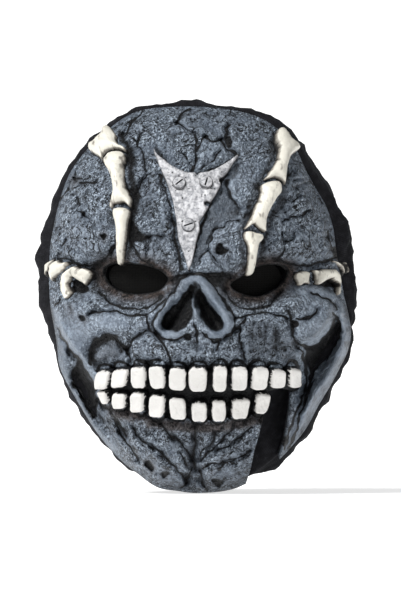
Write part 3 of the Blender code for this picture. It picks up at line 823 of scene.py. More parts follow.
def ordered_grid(name: str, columns: int, rows: int) -> tuple[Piece, Array]:
    """Adds a flat grid, and says in which order its vertices run row by row.

    Args:
        name: the object's name.
        columns: how many faces across.
        rows: how many faces up.

    Returns:
        The object, and the vertices' indices from the lower left, row by row.
    """
    obj = new_grid(name, columns, rows)
    places = points_of(obj)[:, :2].round(5)
    return obj, np.lexsort((places[:, 0], places[:, 1]))


def thin_inside(obj: Piece, outside: int, share: float) -> None:
    """Keeps few faces on the hidden side of a piece, which is plain.

    Args:
        obj: the piece.
        outside: how many of its vertices are on the outer side, which come first.
        share: the share of the hidden side's faces that stays.
    """
    pick(obj)
    inner = np.arange(len(obj.data.vertices)) >= outside
    corners = np.empty(len(obj.data.loops), np.int32)
    obj.data.loops.foreach_get("vertex_index", corners)
    starts = np.empty(len(obj.data.polygons), np.int32)
    obj.data.polygons.foreach_get("loop_start", starts)
    hidden = np.logical_and.reduceat(inner[corners], starts)
    obj.data.vertices.foreach_set("select", np.zeros(len(inner), bool))
    obj.data.edges.foreach_set("select", np.zeros(len(obj.data.edges), bool))
    obj.data.polygons.foreach_set("select", hidden)
    bpy.ops.object.mode_set(mode="EDIT")
    bpy.ops.mesh.select_mode(type="FACE")
    bpy.ops.mesh.decimate(ratio=share)
    bpy.ops.object.mode_set(mode="OBJECT")


def on_face(u: Array, v: Array, height: Array) -> Array:
    """Returns points at a height in metres over the broad form of the face."""
    points, normals = FORM.raised(u, v, FORM.broad(u, v) * FORM.fade(u, v))
    return points + normals * np.asarray(height)[..., None]


# The cast face

SHEET = (198.5, 499.0)  # the drawing's own origin on the drawn sheet, right and down from its corner


def on_sheet(places: tuple) -> Array:
    """Turns numbers by turns right and down from the corner of the drawn sheet into places across and up."""
    return np.reshape(places, (-1, 2)) * (1, -1) + (-SHEET[0], SHEET[1])


@dataclass(frozen=True)
class Line:
    """A drawn crack, crease, shade or ridge: its kind, half width, strength and course on the sheet."""

    kind: Stroke
    half: float
    strength: float
    course: tuple


@dataclass(frozen=True)
class Area:
    """A drawn area: how far back it lies in millimetres, its edge's width, wash, stain and outline. The wash
    is black paint, and painted shade in the areas named for shade or shadow.
    """

    back: float
    edge: float
    wash: float
    stain: float
    outline: tuple


@dataclass(frozen=True)
class Fan:
    """Fibres between two courses: how many grooves, their half width and strength, and both courses."""

    count: int
    half: float
    strength: float
    first: tuple
    last: tuple


# every outline and course that follows is written as numbers right and down by turns
AREAS = {
    "left_nostril": Area(3.2, 3, 1, 0, (192.6, 285, 188, 288, 181, 298.5, 172, 309, 165, 313.5, 162, 320,
        164, 327, 171, 331.5, 179, 331, 186, 326, 191, 319, 192.5, 305)),
    "right_nostril": Area(3.2, 3, 1, 0, (199, 285, 206, 299.5, 213, 309, 220, 316, 223, 322.5, 220, 328.5,
        212, 330, 206, 325, 201, 318, 198.5, 304)),
    "nostril_low": Area(1.4, 2, 1, 0.1, (184.5, 334, 188, 332, 191, 335, 190, 340, 186, 340)),
    "nostril_low_right": Area(0.9, 2, 0.9, 0, (194, 322, 196, 325, 199, 334, 198, 342, 195, 338)),
    "mouth": Area(1.6, 3, 1, 0, (99, 374, 104, 368, 114, 368, 132, 365, 150, 364, 170, 366, 190, 366,
        208, 366, 230, 365, 250, 366, 268, 368, 284, 367, 297, 368, 300, 378, 299, 389, 290, 392, 272, 392,
        268, 404, 262, 411, 248, 415, 228, 417, 208, 419, 188, 418, 168, 415, 148, 410, 130, 406, 114, 403,
        103, 396, 99, 386)),
    "cheek_gap": Area(5, 4, 1, 0, (304, 348, 316, 344, 326, 336, 333, 326, 339, 323, 339.5, 336, 331, 350,
        322.5, 361, 314.5, 371, 311, 380, 308, 369)),
    "left_cheek": Area(1.6, 8, 0.5, 0.15, (91, 352, 98, 341, 108, 337, 119, 343, 126, 352, 118, 359, 107, 360,
        98, 366, 92, 362)),
    "left_jaw": Area(2.2, 5, 1, 0.1, (77, 361, 83, 366, 89, 378, 94, 387, 98, 398, 97, 410, 92, 420, 85, 409,
        80, 398, 73, 386, 70, 376)),
    "brow_pit": Area(2.4, 6, 1, 0, (131, 222, 136, 226, 145, 234, 150, 238, 144, 242, 137, 242, 131, 240,
        128, 231)),
    "right_brow_pit": Area(3, 3, 1, 0.2, (215.5, 248.5, 220, 244, 225, 247.5, 229.5, 249.5, 224.5, 253.5,
        220, 255, 216, 252)),
    "chin_pit": Area(2.6, 3, 0.9, 0.5, (146, 461, 151, 462, 154, 468, 150, 471, 146, 467)),
    "chin_pit_low": Area(2, 3, 0.9, 0.2, (160, 472, 166, 471, 169, 475, 163, 477)),
    "chin_pit_right": Area(2.2, 3, 0.95, 0, (212, 479, 217, 479, 224, 482, 220, 487, 213, 485)),
    "left_brow_shadow": Area(0, 5, 1, 0, (96, 262, 105, 260, 125, 259, 146, 262, 155, 268, 167, 274, 180, 280,
        172, 286, 165, 278, 150, 266, 126, 262, 108, 265, 102, 278, 96, 276)),
    "right_brow_shadow": Area(0, 5, 1, 0, (200, 274, 222, 273, 243, 275, 262, 262, 278, 261, 290, 264,
        291, 272, 286, 266, 265, 265, 245, 276, 232, 283, 222, 285, 212, 280)),
    "left_eye_corner": Area(0.8, 6, 0.85, 0.3, (92, 268, 101, 264, 106, 272, 106, 284, 98, 282, 92, 276)),
    "right_eye_corner": Area(0.6, 5, 0.9, 0.1, (210, 281, 222, 280, 232, 284, 238, 293, 228, 293, 216, 287)),
    "left_finger_hollow": Area(1.8, 2, 1, 0, (72.5, 282, 79.5, 281, 87.5, 286, 88, 292, 79.5, 293, 74, 290)),
    "right_finger_hollow": Area(1.5, 3, 1, 0, (312, 285, 322, 280, 331, 281, 333, 288, 321, 286)),
    "forehead_hole": Area(1, 2, 0.85, 0.1, (224, 138, 229, 136, 232, 142, 231, 149, 227, 147, 224, 143)),
    "temple_blot": Area(0.8, 2, 0.7, 0.5, (72, 179, 76, 178, 77, 182, 72, 184)),
    "temple_hole": Area(1.2, 2, 0.7, 0.5, (100, 235, 105, 234, 107, 239, 102, 240)),
    "cheek_hole": Area(1.3, 2, 0.8, 0.3, (80, 317, 85, 316, 87, 320, 82, 321.5)),
    "cheek_blot": Area(0.8, 3, 0.6, 0.3, (68, 307, 71, 307, 74, 315, 70, 314)),
    "ball_hole": Area(2.2, 3, 1, 0, (290, 321, 295, 319.5, 299, 324, 295, 328, 291, 327)),
    "facet": Area(0.5, 3, 0.58, 0, (237, 163, 241, 168, 236, 176, 229, 182, 229, 192, 236, 203, 240, 211,
        238, 218, 228, 220, 217, 228, 211, 238, 206, 251, 199, 264, 195, 270, 193, 262, 200, 240, 205, 222,
        214, 200, 222, 184, 228, 173)),
    # painted shadow of the plate on the face along its right edge, over a shallow step
    "plate_drop_shadow": Area(0.8, 2, 1, 0, (232, 168, 228, 174, 221, 186, 213, 203, 206, 220, 200, 238, 196, 252,
        190, 272, 188, 268, 192, 250, 197, 236, 203, 218, 211, 200, 218, 184, 225, 171)),
    "muscle_shade": Area(0, 14, 0.46, 0, (246, 322, 262, 318, 280, 322, 292, 334, 298, 350, 302, 366,
        280, 362, 250, 358, 243, 340)),
    "brow_shade": Area(0, 12, 0.4, 0, (120, 200, 140, 195, 160, 205, 168, 225, 174, 250, 176, 268, 150, 262,
        134, 240)),
    "ball_shade": Area(0, 12, 0.55, 0, (298, 338, 306, 342, 317, 339, 326, 330, 332, 318, 333, 306, 326, 314,
        318, 326, 306, 334)),
    "chin_shade": Area(0, 26, 0.27, 0.1, (112, 412, 140, 420, 200, 424, 262, 416, 300, 408, 282, 460,
        240, 496, 168, 498, 130, 470)),
    "jaw_left_shade": Area(0, 14, 0.42, 0, (50, 330, 64, 340, 84, 372, 104, 404, 126, 442, 114, 452, 88, 424,
        66, 388, 54, 356)),
    "jaw_right_shade": Area(0, 14, 0.42, 0, (338, 322, 350, 330, 350, 352, 334, 388, 306, 440, 290, 452,
        300, 420, 318, 380, 334, 348)),
    "lower_gum": Area(0, 5, 0.3, 0.9, (112, 407, 130, 412, 150, 418, 172, 422, 198, 424, 226, 423, 250, 417,
        262, 413, 264, 420, 240, 427, 200, 431, 160, 427, 128, 420, 110, 413)),
    "rim_notch": Area(1, 4, 0.95, 0, (331, 246, 343, 250, 342, 262, 334, 258)),
}

# each row of the lines that follow: half width, strength, course
CRACKS = {
    "forehead_far_left": (2.4, 1.3, (141, 113, 137, 118, 131.5, 123, 128.5, 129.5, 124.5, 137)),
    "forehead_top": (1.7, 1.1, (191.5, 108, 184.5, 112, 180, 118, 177, 123)),
    "forehead_bend": (1.2, 0.9, (177, 123, 183.5, 127, 191.5, 132, 196, 135)),
    "forehead_long": (2.3, 1.3, (196, 135, 196, 143, 195.5, 150, 196, 158, 194, 165, 192.5, 171)),
    "forehead_fork": (1.9, 1.1, (208, 137, 203, 139.5, 199.5, 146, 197, 152)),
    "forehead_short": (1, 0.7, (165, 131, 170, 128, 177, 124)),
    "forehead_slant": (1.1, 0.8, (179, 152, 186, 159.5, 189, 164)),
    "flap_edge": (2.2, 1.2, (230, 125.5, 227, 129.5, 225.5, 135.5, 221, 139.5)),
    "flap_edge_low": (1.8, 1.1, (221, 139.5, 224.5, 146, 228, 150.5, 234, 153, 238.5, 155)),
    "forehead_arc": (1.4, 0.9, (221, 140, 216, 141.5, 211, 141, 206, 138)),
    "forehead_right_slant": (1.4, 1, (220, 150.5, 216, 156, 213, 161, 205, 165.5, 201, 169)),
    "left_vertical_top": (1.3, 0.9, (143.5, 131, 139, 139, 137, 146, 141, 148, 143.5, 157)),
    "left_vertical": (1.6, 1.1, (143.5, 157, 145, 166.5, 146, 176, 142.5, 182.5)),
    "left_vertical_low": (2.2, 1.3, (142.5, 182.5, 139.5, 189.5, 136, 196.5)),
    "left_vertical_spur": (1.1, 0.8, (146, 176, 150, 174, 150.5, 169)),
    "pit_spur": (1.6, 1, (150, 238, 155.5, 236.5, 160.5, 237.5, 165.5, 234.5)),
    "pit_spur_down": (1.5, 1, (149, 240, 149, 247, 146.5, 254)),
    "brow_edge_left": (2, 1.1, (132.5, 244, 139.5, 256.5, 146, 262.5, 155, 268, 166, 272.5)),
    "facet_edge": (1.3, 1, (227, 180.5, 228.5, 189.5, 231.5, 198, 237, 204.5, 241, 209)),
    "facet_low_edge": (1.5, 1.1, (239, 221, 229, 222, 224.5, 227.5, 216.5, 230, 212.5, 236, 209, 244,
        208.5, 251)),
    "facet_low_spur": (1.4, 1, (208.5, 251, 202.5, 258, 198.5, 267)),
    "brow_fork": (1.3, 1, (208.5, 251, 214, 257.5, 220, 265.5, 221.5, 271.5)),
    "temple_left_top": (1.5, 1, (74.5, 178, 80.5, 178.5, 85, 180.5, 87.5, 180, 89.5, 176)),
    "temple_left_dash": (1.8, 1.1, (81, 184, 85.5, 184, 90, 184, 97, 183)),
    "temple_left_rim": (1.4, 0.9, (68, 189.5, 63.5, 194, 60, 200)),
    "temple_left_up": (1.2, 0.8, (77, 170, 75, 174, 74, 178)),
    "temple_pits": (1.5, 0.9, (78.5, 198, 80.5, 204.5, 76, 210.5, 82, 211.5, 84, 216)),
    "temple_pits_low": (1.5, 0.9, (84, 216, 87.5, 217.5, 93.5, 222, 96, 226.5)),
    "temple_left_low": (1.4, 0.9, (66, 240, 62.5, 246, 61, 253)),
    "temple_left_bundle": (1.1, 0.9, (118, 245, 114, 251, 112, 258)),
    "temple_right_dash": (1.8, 1.2, (284, 222, 285, 220.5, 291.5, 217.5, 298.5, 217, 306.5, 211.5)),
    "temple_right_long": (1.7, 1.1, (294.5, 233.5, 290.5, 240.5, 284.5, 244, 283, 253, 277.5, 260)),
    "temple_right_spur": (1.2, 0.8, (282, 233, 283.5, 239, 284.5, 244)),
    "temple_right_top": (1.3, 0.8, (294, 180.5, 298, 179, 301, 180.5, 305, 184, 300, 186, 296, 189.5)),
    "temple_right_top_two": (1.2, 0.8, (305, 184, 309, 182.5, 313.5, 186)),
    "temple_right_mid": (1.1, 0.7, (291.5, 202, 296, 199, 301, 196.5, 307.5, 197.5)),
    "temple_right_rim": (1.3, 0.8, (320, 199, 322.5, 203.5)),
    "temple_right_edge": (1.8, 1, (328.5, 231, 329.5, 239, 332, 246, 334, 254)),
    "cheek_left_slit": (1.4, 0.9, (60, 299.5, 57, 303, 55, 306.5)),
    "nose_side_right": (1.6, 0.9, (222, 341, 230, 334, 235, 329.5)),
    "nose_under_right": (2, 1, (207, 335, 213, 341, 219, 342, 216, 350)),
    "ball_crack": (2.1, 1.2, (296, 318, 303, 319.5, 310, 317, 316, 312, 317, 309)),
    "chin_left_fine": (1.3, 0.9, (180, 452, 184, 460, 188, 469)),
    "chin_right_slot": (2.4, 1.1, (218, 468, 225.5, 464, 232.5, 462.5)),
}
CREASES = {
    "plate_groove": (2, 0.8, (160, 176, 164, 187, 168.5, 200, 171, 210, 173, 222)),
    "plate_groove_low": (2.8, 1, (173, 222, 174.5, 233, 177, 245, 180, 257, 182, 270)),
    "temple_left_bottom": (2.4, 1, (58, 258, 65, 259.5, 71.5, 262, 80, 265, 90, 266, 99, 263, 108, 257,
        113, 248, 119, 240)),
    "temple_right_bottom": (2.4, 1, (272, 258, 279, 260.5, 290, 264.5, 301, 265.5, 311, 265, 320, 262.5,
        329, 260, 338, 256)),
    "under_eye_left": (2, 1, (100.5, 291.5, 105, 297.5, 110.5, 303, 119, 306.5, 126, 309.5, 134, 309.5,
        142, 310, 150, 305.5, 157, 303, 162.5, 296)),
    "cheek_left_top": (1.7, 1, (90, 313.5, 101.5, 312, 111, 312, 119, 312.5, 126, 315, 131.5, 316,
        139.5, 314.5, 146.5, 314.5, 152, 311, 158, 306.5, 166, 299.5)),
    "nose_rim_outside_left": (1.9, 1.1, (187, 276, 181, 280, 175, 291, 166, 303, 157, 314, 153.5, 323,
        155.5, 332, 162, 338, 174, 339.5, 184, 336)),
    "nose_rim_outside_right": (1.9, 1.1, (206, 277, 212, 284, 219, 295, 227, 306, 233, 316, 234, 326,
        231, 334, 222, 339, 210, 338, 202, 333)),
    "brow_under_right": (3, 1.2, (192, 275, 203, 275, 216, 276, 230, 277.5)),
    "brow_under_left": (2.2, 1, (191, 275, 184, 275, 176, 279, 170, 281)),
    "nose_side_left": (1.9, 1, (145.5, 314.5, 147.5, 321.5, 152, 331, 160.5, 340, 166, 347, 169.5, 356,
        170, 364)),
    "maxilla_left_top": (1.9, 1.1, (129, 348, 132.5, 340, 140.5, 334, 147.5, 331)),
    "maxilla_left_side": (1.6, 0.9, (129, 348, 130.5, 355, 131.5, 361)),
    "cheek_hollow_left": (3, 1.1, (91, 363, 90.5, 351, 94.5, 342, 101.5, 337, 110.5, 335.5, 117.5, 339,
        124.5, 346, 129, 353)),
    "under_eye_right": (2.2, 1.1, (224.5, 288, 228, 298.5, 235, 305.5, 242, 309, 252, 309, 261.5, 307.5,
        269.5, 305.5, 275, 299.5, 281, 294)),
    "cheek_right_top": (1.8, 1, (234, 318, 242, 316, 250, 314.5, 261.5, 312.5, 270.5, 313.5, 277.5, 316,
        285.5, 319.5)),
    "muscle_edge_right": (1.9, 1, (234, 328.5, 240.5, 326, 243, 322, 245.5, 318)),
    "muscle_side_right": (1.7, 1, (239, 328, 239.5, 339, 240.5, 346, 243, 353, 244.5, 358)),
    "ball_side": (2.6, 1.2, (288, 312, 290, 322.5, 291.5, 330, 293, 338, 299.5, 344.5, 309, 346.5)),
    "ball_under": (2.6, 1.2, (309, 346.5, 318, 344, 326, 336, 332, 326, 336, 318)),
    "ball_fold": (1.9, 1, (310, 292, 317, 296.5, 326, 299, 332, 302.5, 337, 310)),
    "cheek_left_edge": (2, 1.1, (57.5, 329.5, 64.5, 341, 70.5, 350.5, 78.5, 360, 85.5, 369, 91, 379,
        97, 390)),
    "jaw_left_edge": (2.2, 1, (101, 399, 108.5, 408, 115.5, 417.5, 121, 427, 126, 436)),
    "jaw_right_inner": (2.2, 1, (333, 314, 340, 325, 339, 337, 331, 351, 322.5, 362, 314.5, 373, 311, 386,
        305.5, 399, 300.5, 414, 297, 428, 289, 448)),
    "jaw_right_strip": (2.4, 0.9, (296, 346, 303, 357, 306, 369, 307, 386, 301, 400, 296, 412, 291, 428,
        284, 450)),
    "chin_cleft": (2.3, 1.2, (195, 421, 195, 441, 194, 452, 194, 464, 196, 468)),
    "chin_patch_right": (2, 1.1, (200.5, 469, 203, 480, 207, 491)),
    "chin_patch_left": (2, 1, (193, 469, 188.5, 477, 182, 488)),
    "chin_left_main": (2, 1, (162.5, 423, 169, 433, 180.5, 443, 189, 453, 193, 460)),
    "chin_left_lower": (1.7, 0.9, (151, 444, 160.5, 452.5, 169, 460, 177.5, 468, 183, 476, 187, 483)),
    "chin_left_upper": (1.6, 0.9, (132.5, 427, 137, 436, 146.5, 443, 152, 448.5)),
    "chin_left_outer": (2, 1, (114, 419, 118, 429, 124, 440, 132.5, 451, 138, 461)),
    "chin_right_main": (2, 1, (201, 461, 207, 454, 214, 447, 221, 441, 228, 434, 235, 424.5)),
    "chin_right_lower": (1.6, 1, (202.5, 468, 211, 464, 224, 461, 236.5, 457, 249.5, 451)),
    "chin_right_upper": (1.7, 0.9, (199.5, 458, 203, 451, 210, 444, 214, 437, 215, 431)),
    "chin_right_outer": (1.7, 0.9, (217, 450, 224, 447.5, 231, 444, 242.5, 434, 251, 427)),
}
# painted shade and painted shadow: shadows cast by the finger bones, the plate and the brow, the shade at the
# top of the septum and in the left cheek hollow
SHADES = {
    "temple_left_side": (5, 0.55, (101, 165, 105, 178, 109, 192, 110, 205, 112, 222, 116, 238)),
    "finger_left_shade": (6, 1, (131, 150, 131, 170, 133, 190, 135, 205, 132, 220, 130, 240)),
    "finger_left_low": (4, 1, (132, 240, 130, 252, 129, 264)),
    "finger_left_top": (4, 0.9, (119, 132, 122, 140, 128, 146)),
    "finger_right_shade": (6, 0.75, (285, 165, 284, 185, 281, 200, 274, 212, 269, 224, 266, 240)),
    "finger_right_low": (5, 0.9, (264, 240, 261, 252, 258, 264)),
    "finger_right_left": (5, 0.75, (272, 140, 272, 160, 262, 178, 254, 196, 248, 212, 241, 228)),
    "finger_right_left_low": (4, 0.75, (240, 228, 241, 245, 243, 262, 244, 274)),
    "plate_top_shade": (3.2, 0.9, (156, 150, 163, 160, 175, 170, 190, 175, 205, 172, 222, 166, 236, 157)),
    "brow_fall_right": (6, 0.75, (212, 279, 220, 284, 227, 292)),
    "septum_top": (3.6, 1, (195.5, 284, 195.8, 292, 196, 300, 196, 307)),
    "cheek_hollow_dark": (4.5, 1, (94, 360, 93, 350, 98, 342, 106, 338, 116, 339)),
}
RIDGES = {
    "nose_rim_left": (4.6, 0.9, (197, 278, 188, 283, 181, 293.5, 171, 305.5, 161.5, 315, 159.5, 325, 164, 333,
        173, 335.5, 181, 333.5)),
    "nose_rim_right": (6.5, 0.9, (197, 278, 205, 284, 211.5, 294, 218, 304, 225, 313.5, 227, 321, 225.5, 329,
        219, 334, 211, 334)),
    "septum": (3, 0.55, (195.5, 290, 196, 300, 196, 314, 196, 321)),
    "jaw_left_strip": (6.5, 0.6, (60, 345, 62, 365, 66, 380)),
    "jaw_left_outer": (5, 0.7, (74, 392, 84, 414, 97, 434, 112.5, 449)),
    "jaw_right_outer": (8, 0.8, (343.5, 313, 346.5, 339, 332.5, 371, 314.5, 401, 300.5, 429, 288.5, 449)),
    "cheek_left_ridge": (7, 0.6, (52.5, 313, 64.5, 333, 82.5, 359, 100.5, 388)),
    "cheek_hollow_ridge": (4, 0.4, (117, 350, 108, 351, 101, 356)),
    "flap": (3.2, 0.3, (232, 127, 234, 136, 236, 144, 239, 150)),
    "fold_tube": (4, 0.35, (302, 290, 313, 291, 324, 294, 332, 299)),
}
LINES = {Stroke.CRACK: CRACKS, Stroke.CREASE: CREASES, Stroke.SHADE: SHADES, Stroke.RIDGE: RIDGES}

FANS = {
    "jaw_right": Fan(7, 0.75, 1, (341, 316, 345, 330, 342, 346, 333, 360, 322, 376, 314, 396, 307, 416,
        298, 436), (347, 314, 351, 332, 349, 350, 341, 366, 330, 384, 320, 404, 311, 420, 300, 438)),
    "jaw_left": Fan(3, 0.9, 0.9, (70, 390, 80, 408, 92, 428), (76, 384, 86, 404, 97, 424)),
    "jaw_left_low": Fan(3, 0.9, 0.7, (101, 404, 112, 424, 128, 446), (99, 414, 110, 432, 124, 452)),
    "muscles_right": Fan(4, 1.5, 0.5, (254, 318, 252, 336, 250, 357), (288, 326, 287, 342, 291, 357)),
    "muscles_left": Fan(3, 0.9, 0.5, (136, 340, 138, 350, 139, 360), (156, 342, 160, 352, 160, 361)),
    "upper_gum": Fan(2, 1.2, 0.8, (196, 326, 197, 342, 196, 358), (208, 340, 207, 350, 206, 360)),
    "chin_patch": Fan(4, 0.8, 0.6, (195, 472, 190, 482, 186, 491), (199, 472, 200, 482, 202, 491)),
    "chin_right_fine": Fan(3, 1, 0.7, (206, 426, 204, 438, 202, 448), (224, 424, 218, 432, 214, 440)),
    "chin_left_fine": Fan(3, 1, 0.7, (176, 424, 182, 434, 189, 444), (190, 424, 192, 436, 193, 448)),
    "temple_rim": Fan(3, 0.9, 0.6, (52, 215, 50, 235, 51, 252), (58, 216, 57, 236, 59, 252)),
    "temple_left_bundle": Fan(3, 0.9, 0.9, (119, 243, 114, 250, 110, 258), (124, 250, 119, 256, 115, 261)),
}

# places that stay smooth
SMOOTH_PLACES = {
    # name: (across, down, half width, half height)
    "left_cheekbone": (80, 337, 20, 22),
    "cheek_below_eye": (108, 321, 26, 9),
    "cheek_ball": (316, 326, 18, 18),
    "fold_tube": (318, 294, 18, 7),
    "nose_left": (166, 310, 12, 20),
    "nose_top": (196, 279, 14, 6),
    "nose_right": (215, 303, 13, 26),
    "facet_top": (229, 183, 12, 22),
    "facet_middle": (218, 208, 13, 24),
    "facet_low": (203, 240, 8, 26),
    "jaw_right": (332, 370, 26, 50),
}

EYE_OUTLINES = {
    "left": (104, 272, 108, 283, 116, 289, 125, 293, 137, 294, 150, 293, 160, 290, 166, 284, 168, 279,
        163, 273, 155, 269, 145, 266, 130, 264, 115, 264, 106, 267),
    "right": (231, 284, 233, 289, 240, 293, 250, 296, 260, 296, 270, 292, 278, 287, 284, 280, 288, 272,
        285, 267, 275, 265, 262, 266, 252, 270, 240, 278),
}

JAW_NOTCH = (265, 404, 262, 422, 258, 438, 254, 452, 251, 468, 247, 482, 240, 500, 300, 500, 290, 478,
    279.5, 459, 284, 446, 287, 432, 289.5, 418, 291, 404, 292, 391, 280, 388, 268, 391)


def blurred(values: Array, radius: int) -> Array:
    """Averages a square of values with their neighbours, three times over."""
    for _ in range(3):
        for axis in (0, 1):
            padded = np.concatenate([np.repeat(np.take(values, [0], axis), radius + 1, axis), values,
                                     np.repeat(np.take(values, [-1], axis), radius, axis)], axis)
            run = np.cumsum(padded, axis)
            size = 2 * radius + 1
            length = values.shape[axis]
            high = np.take(run, range(size, size + length), axis)
            low = np.take(run, range(0, length), axis)
            values = (high - low) / size
    return values


def snapped(u: Array, v: Array, outline: Array, drop: Array) -> tuple[Array, Array]:
    """Moves the places of a square grid that border on dropped ones onto an outline.

    Args:
        u: places across, on the square grid.
        v: places up, on the square grid.
        outline: the closed outline between what stays and what is dropped.
        drop: which places are dropped.

    Returns:
        The moved places.
    """
    near = np.zeros_like(drop)
    for i in (-1, 0, 1):
        for j in (-1, 0, 1):
            near |= np.roll(np.roll(drop, i, 0), j, 1)
    near &= ~drop
    p = np.stack([u[near], v[near]], axis=1)
    best = np.full(len(p), 9.0)
    target = p.copy()
    for a, b in zip(outline, np.roll(outline, -1, axis=0)):
        step = b - a
        t = np.clip(((p - a) @ step) / max(float(step @ step), 1e-9), 0, 1)
        q = a + t[:, None] * step
        far = ((p - q) ** 2).sum(axis=1)
        nearer = far < best
        best = np.where(nearer, far, best)
        target[nearer] = q[nearer]
    u, v = u.copy(), v.copy()
    u[near], v[near] = target[:, 0], target[:, 1]
    return u, v


def lowest_near(values: Array, radius: int) -> Array:
    """Returns the lowest value round each place of a square of values."""
    for axis in (0, 1):
        low = values
        for step in range(-radius, radius + 1):
            low = np.minimum(low, np.roll(values, step, axis))
        values = low
    return values


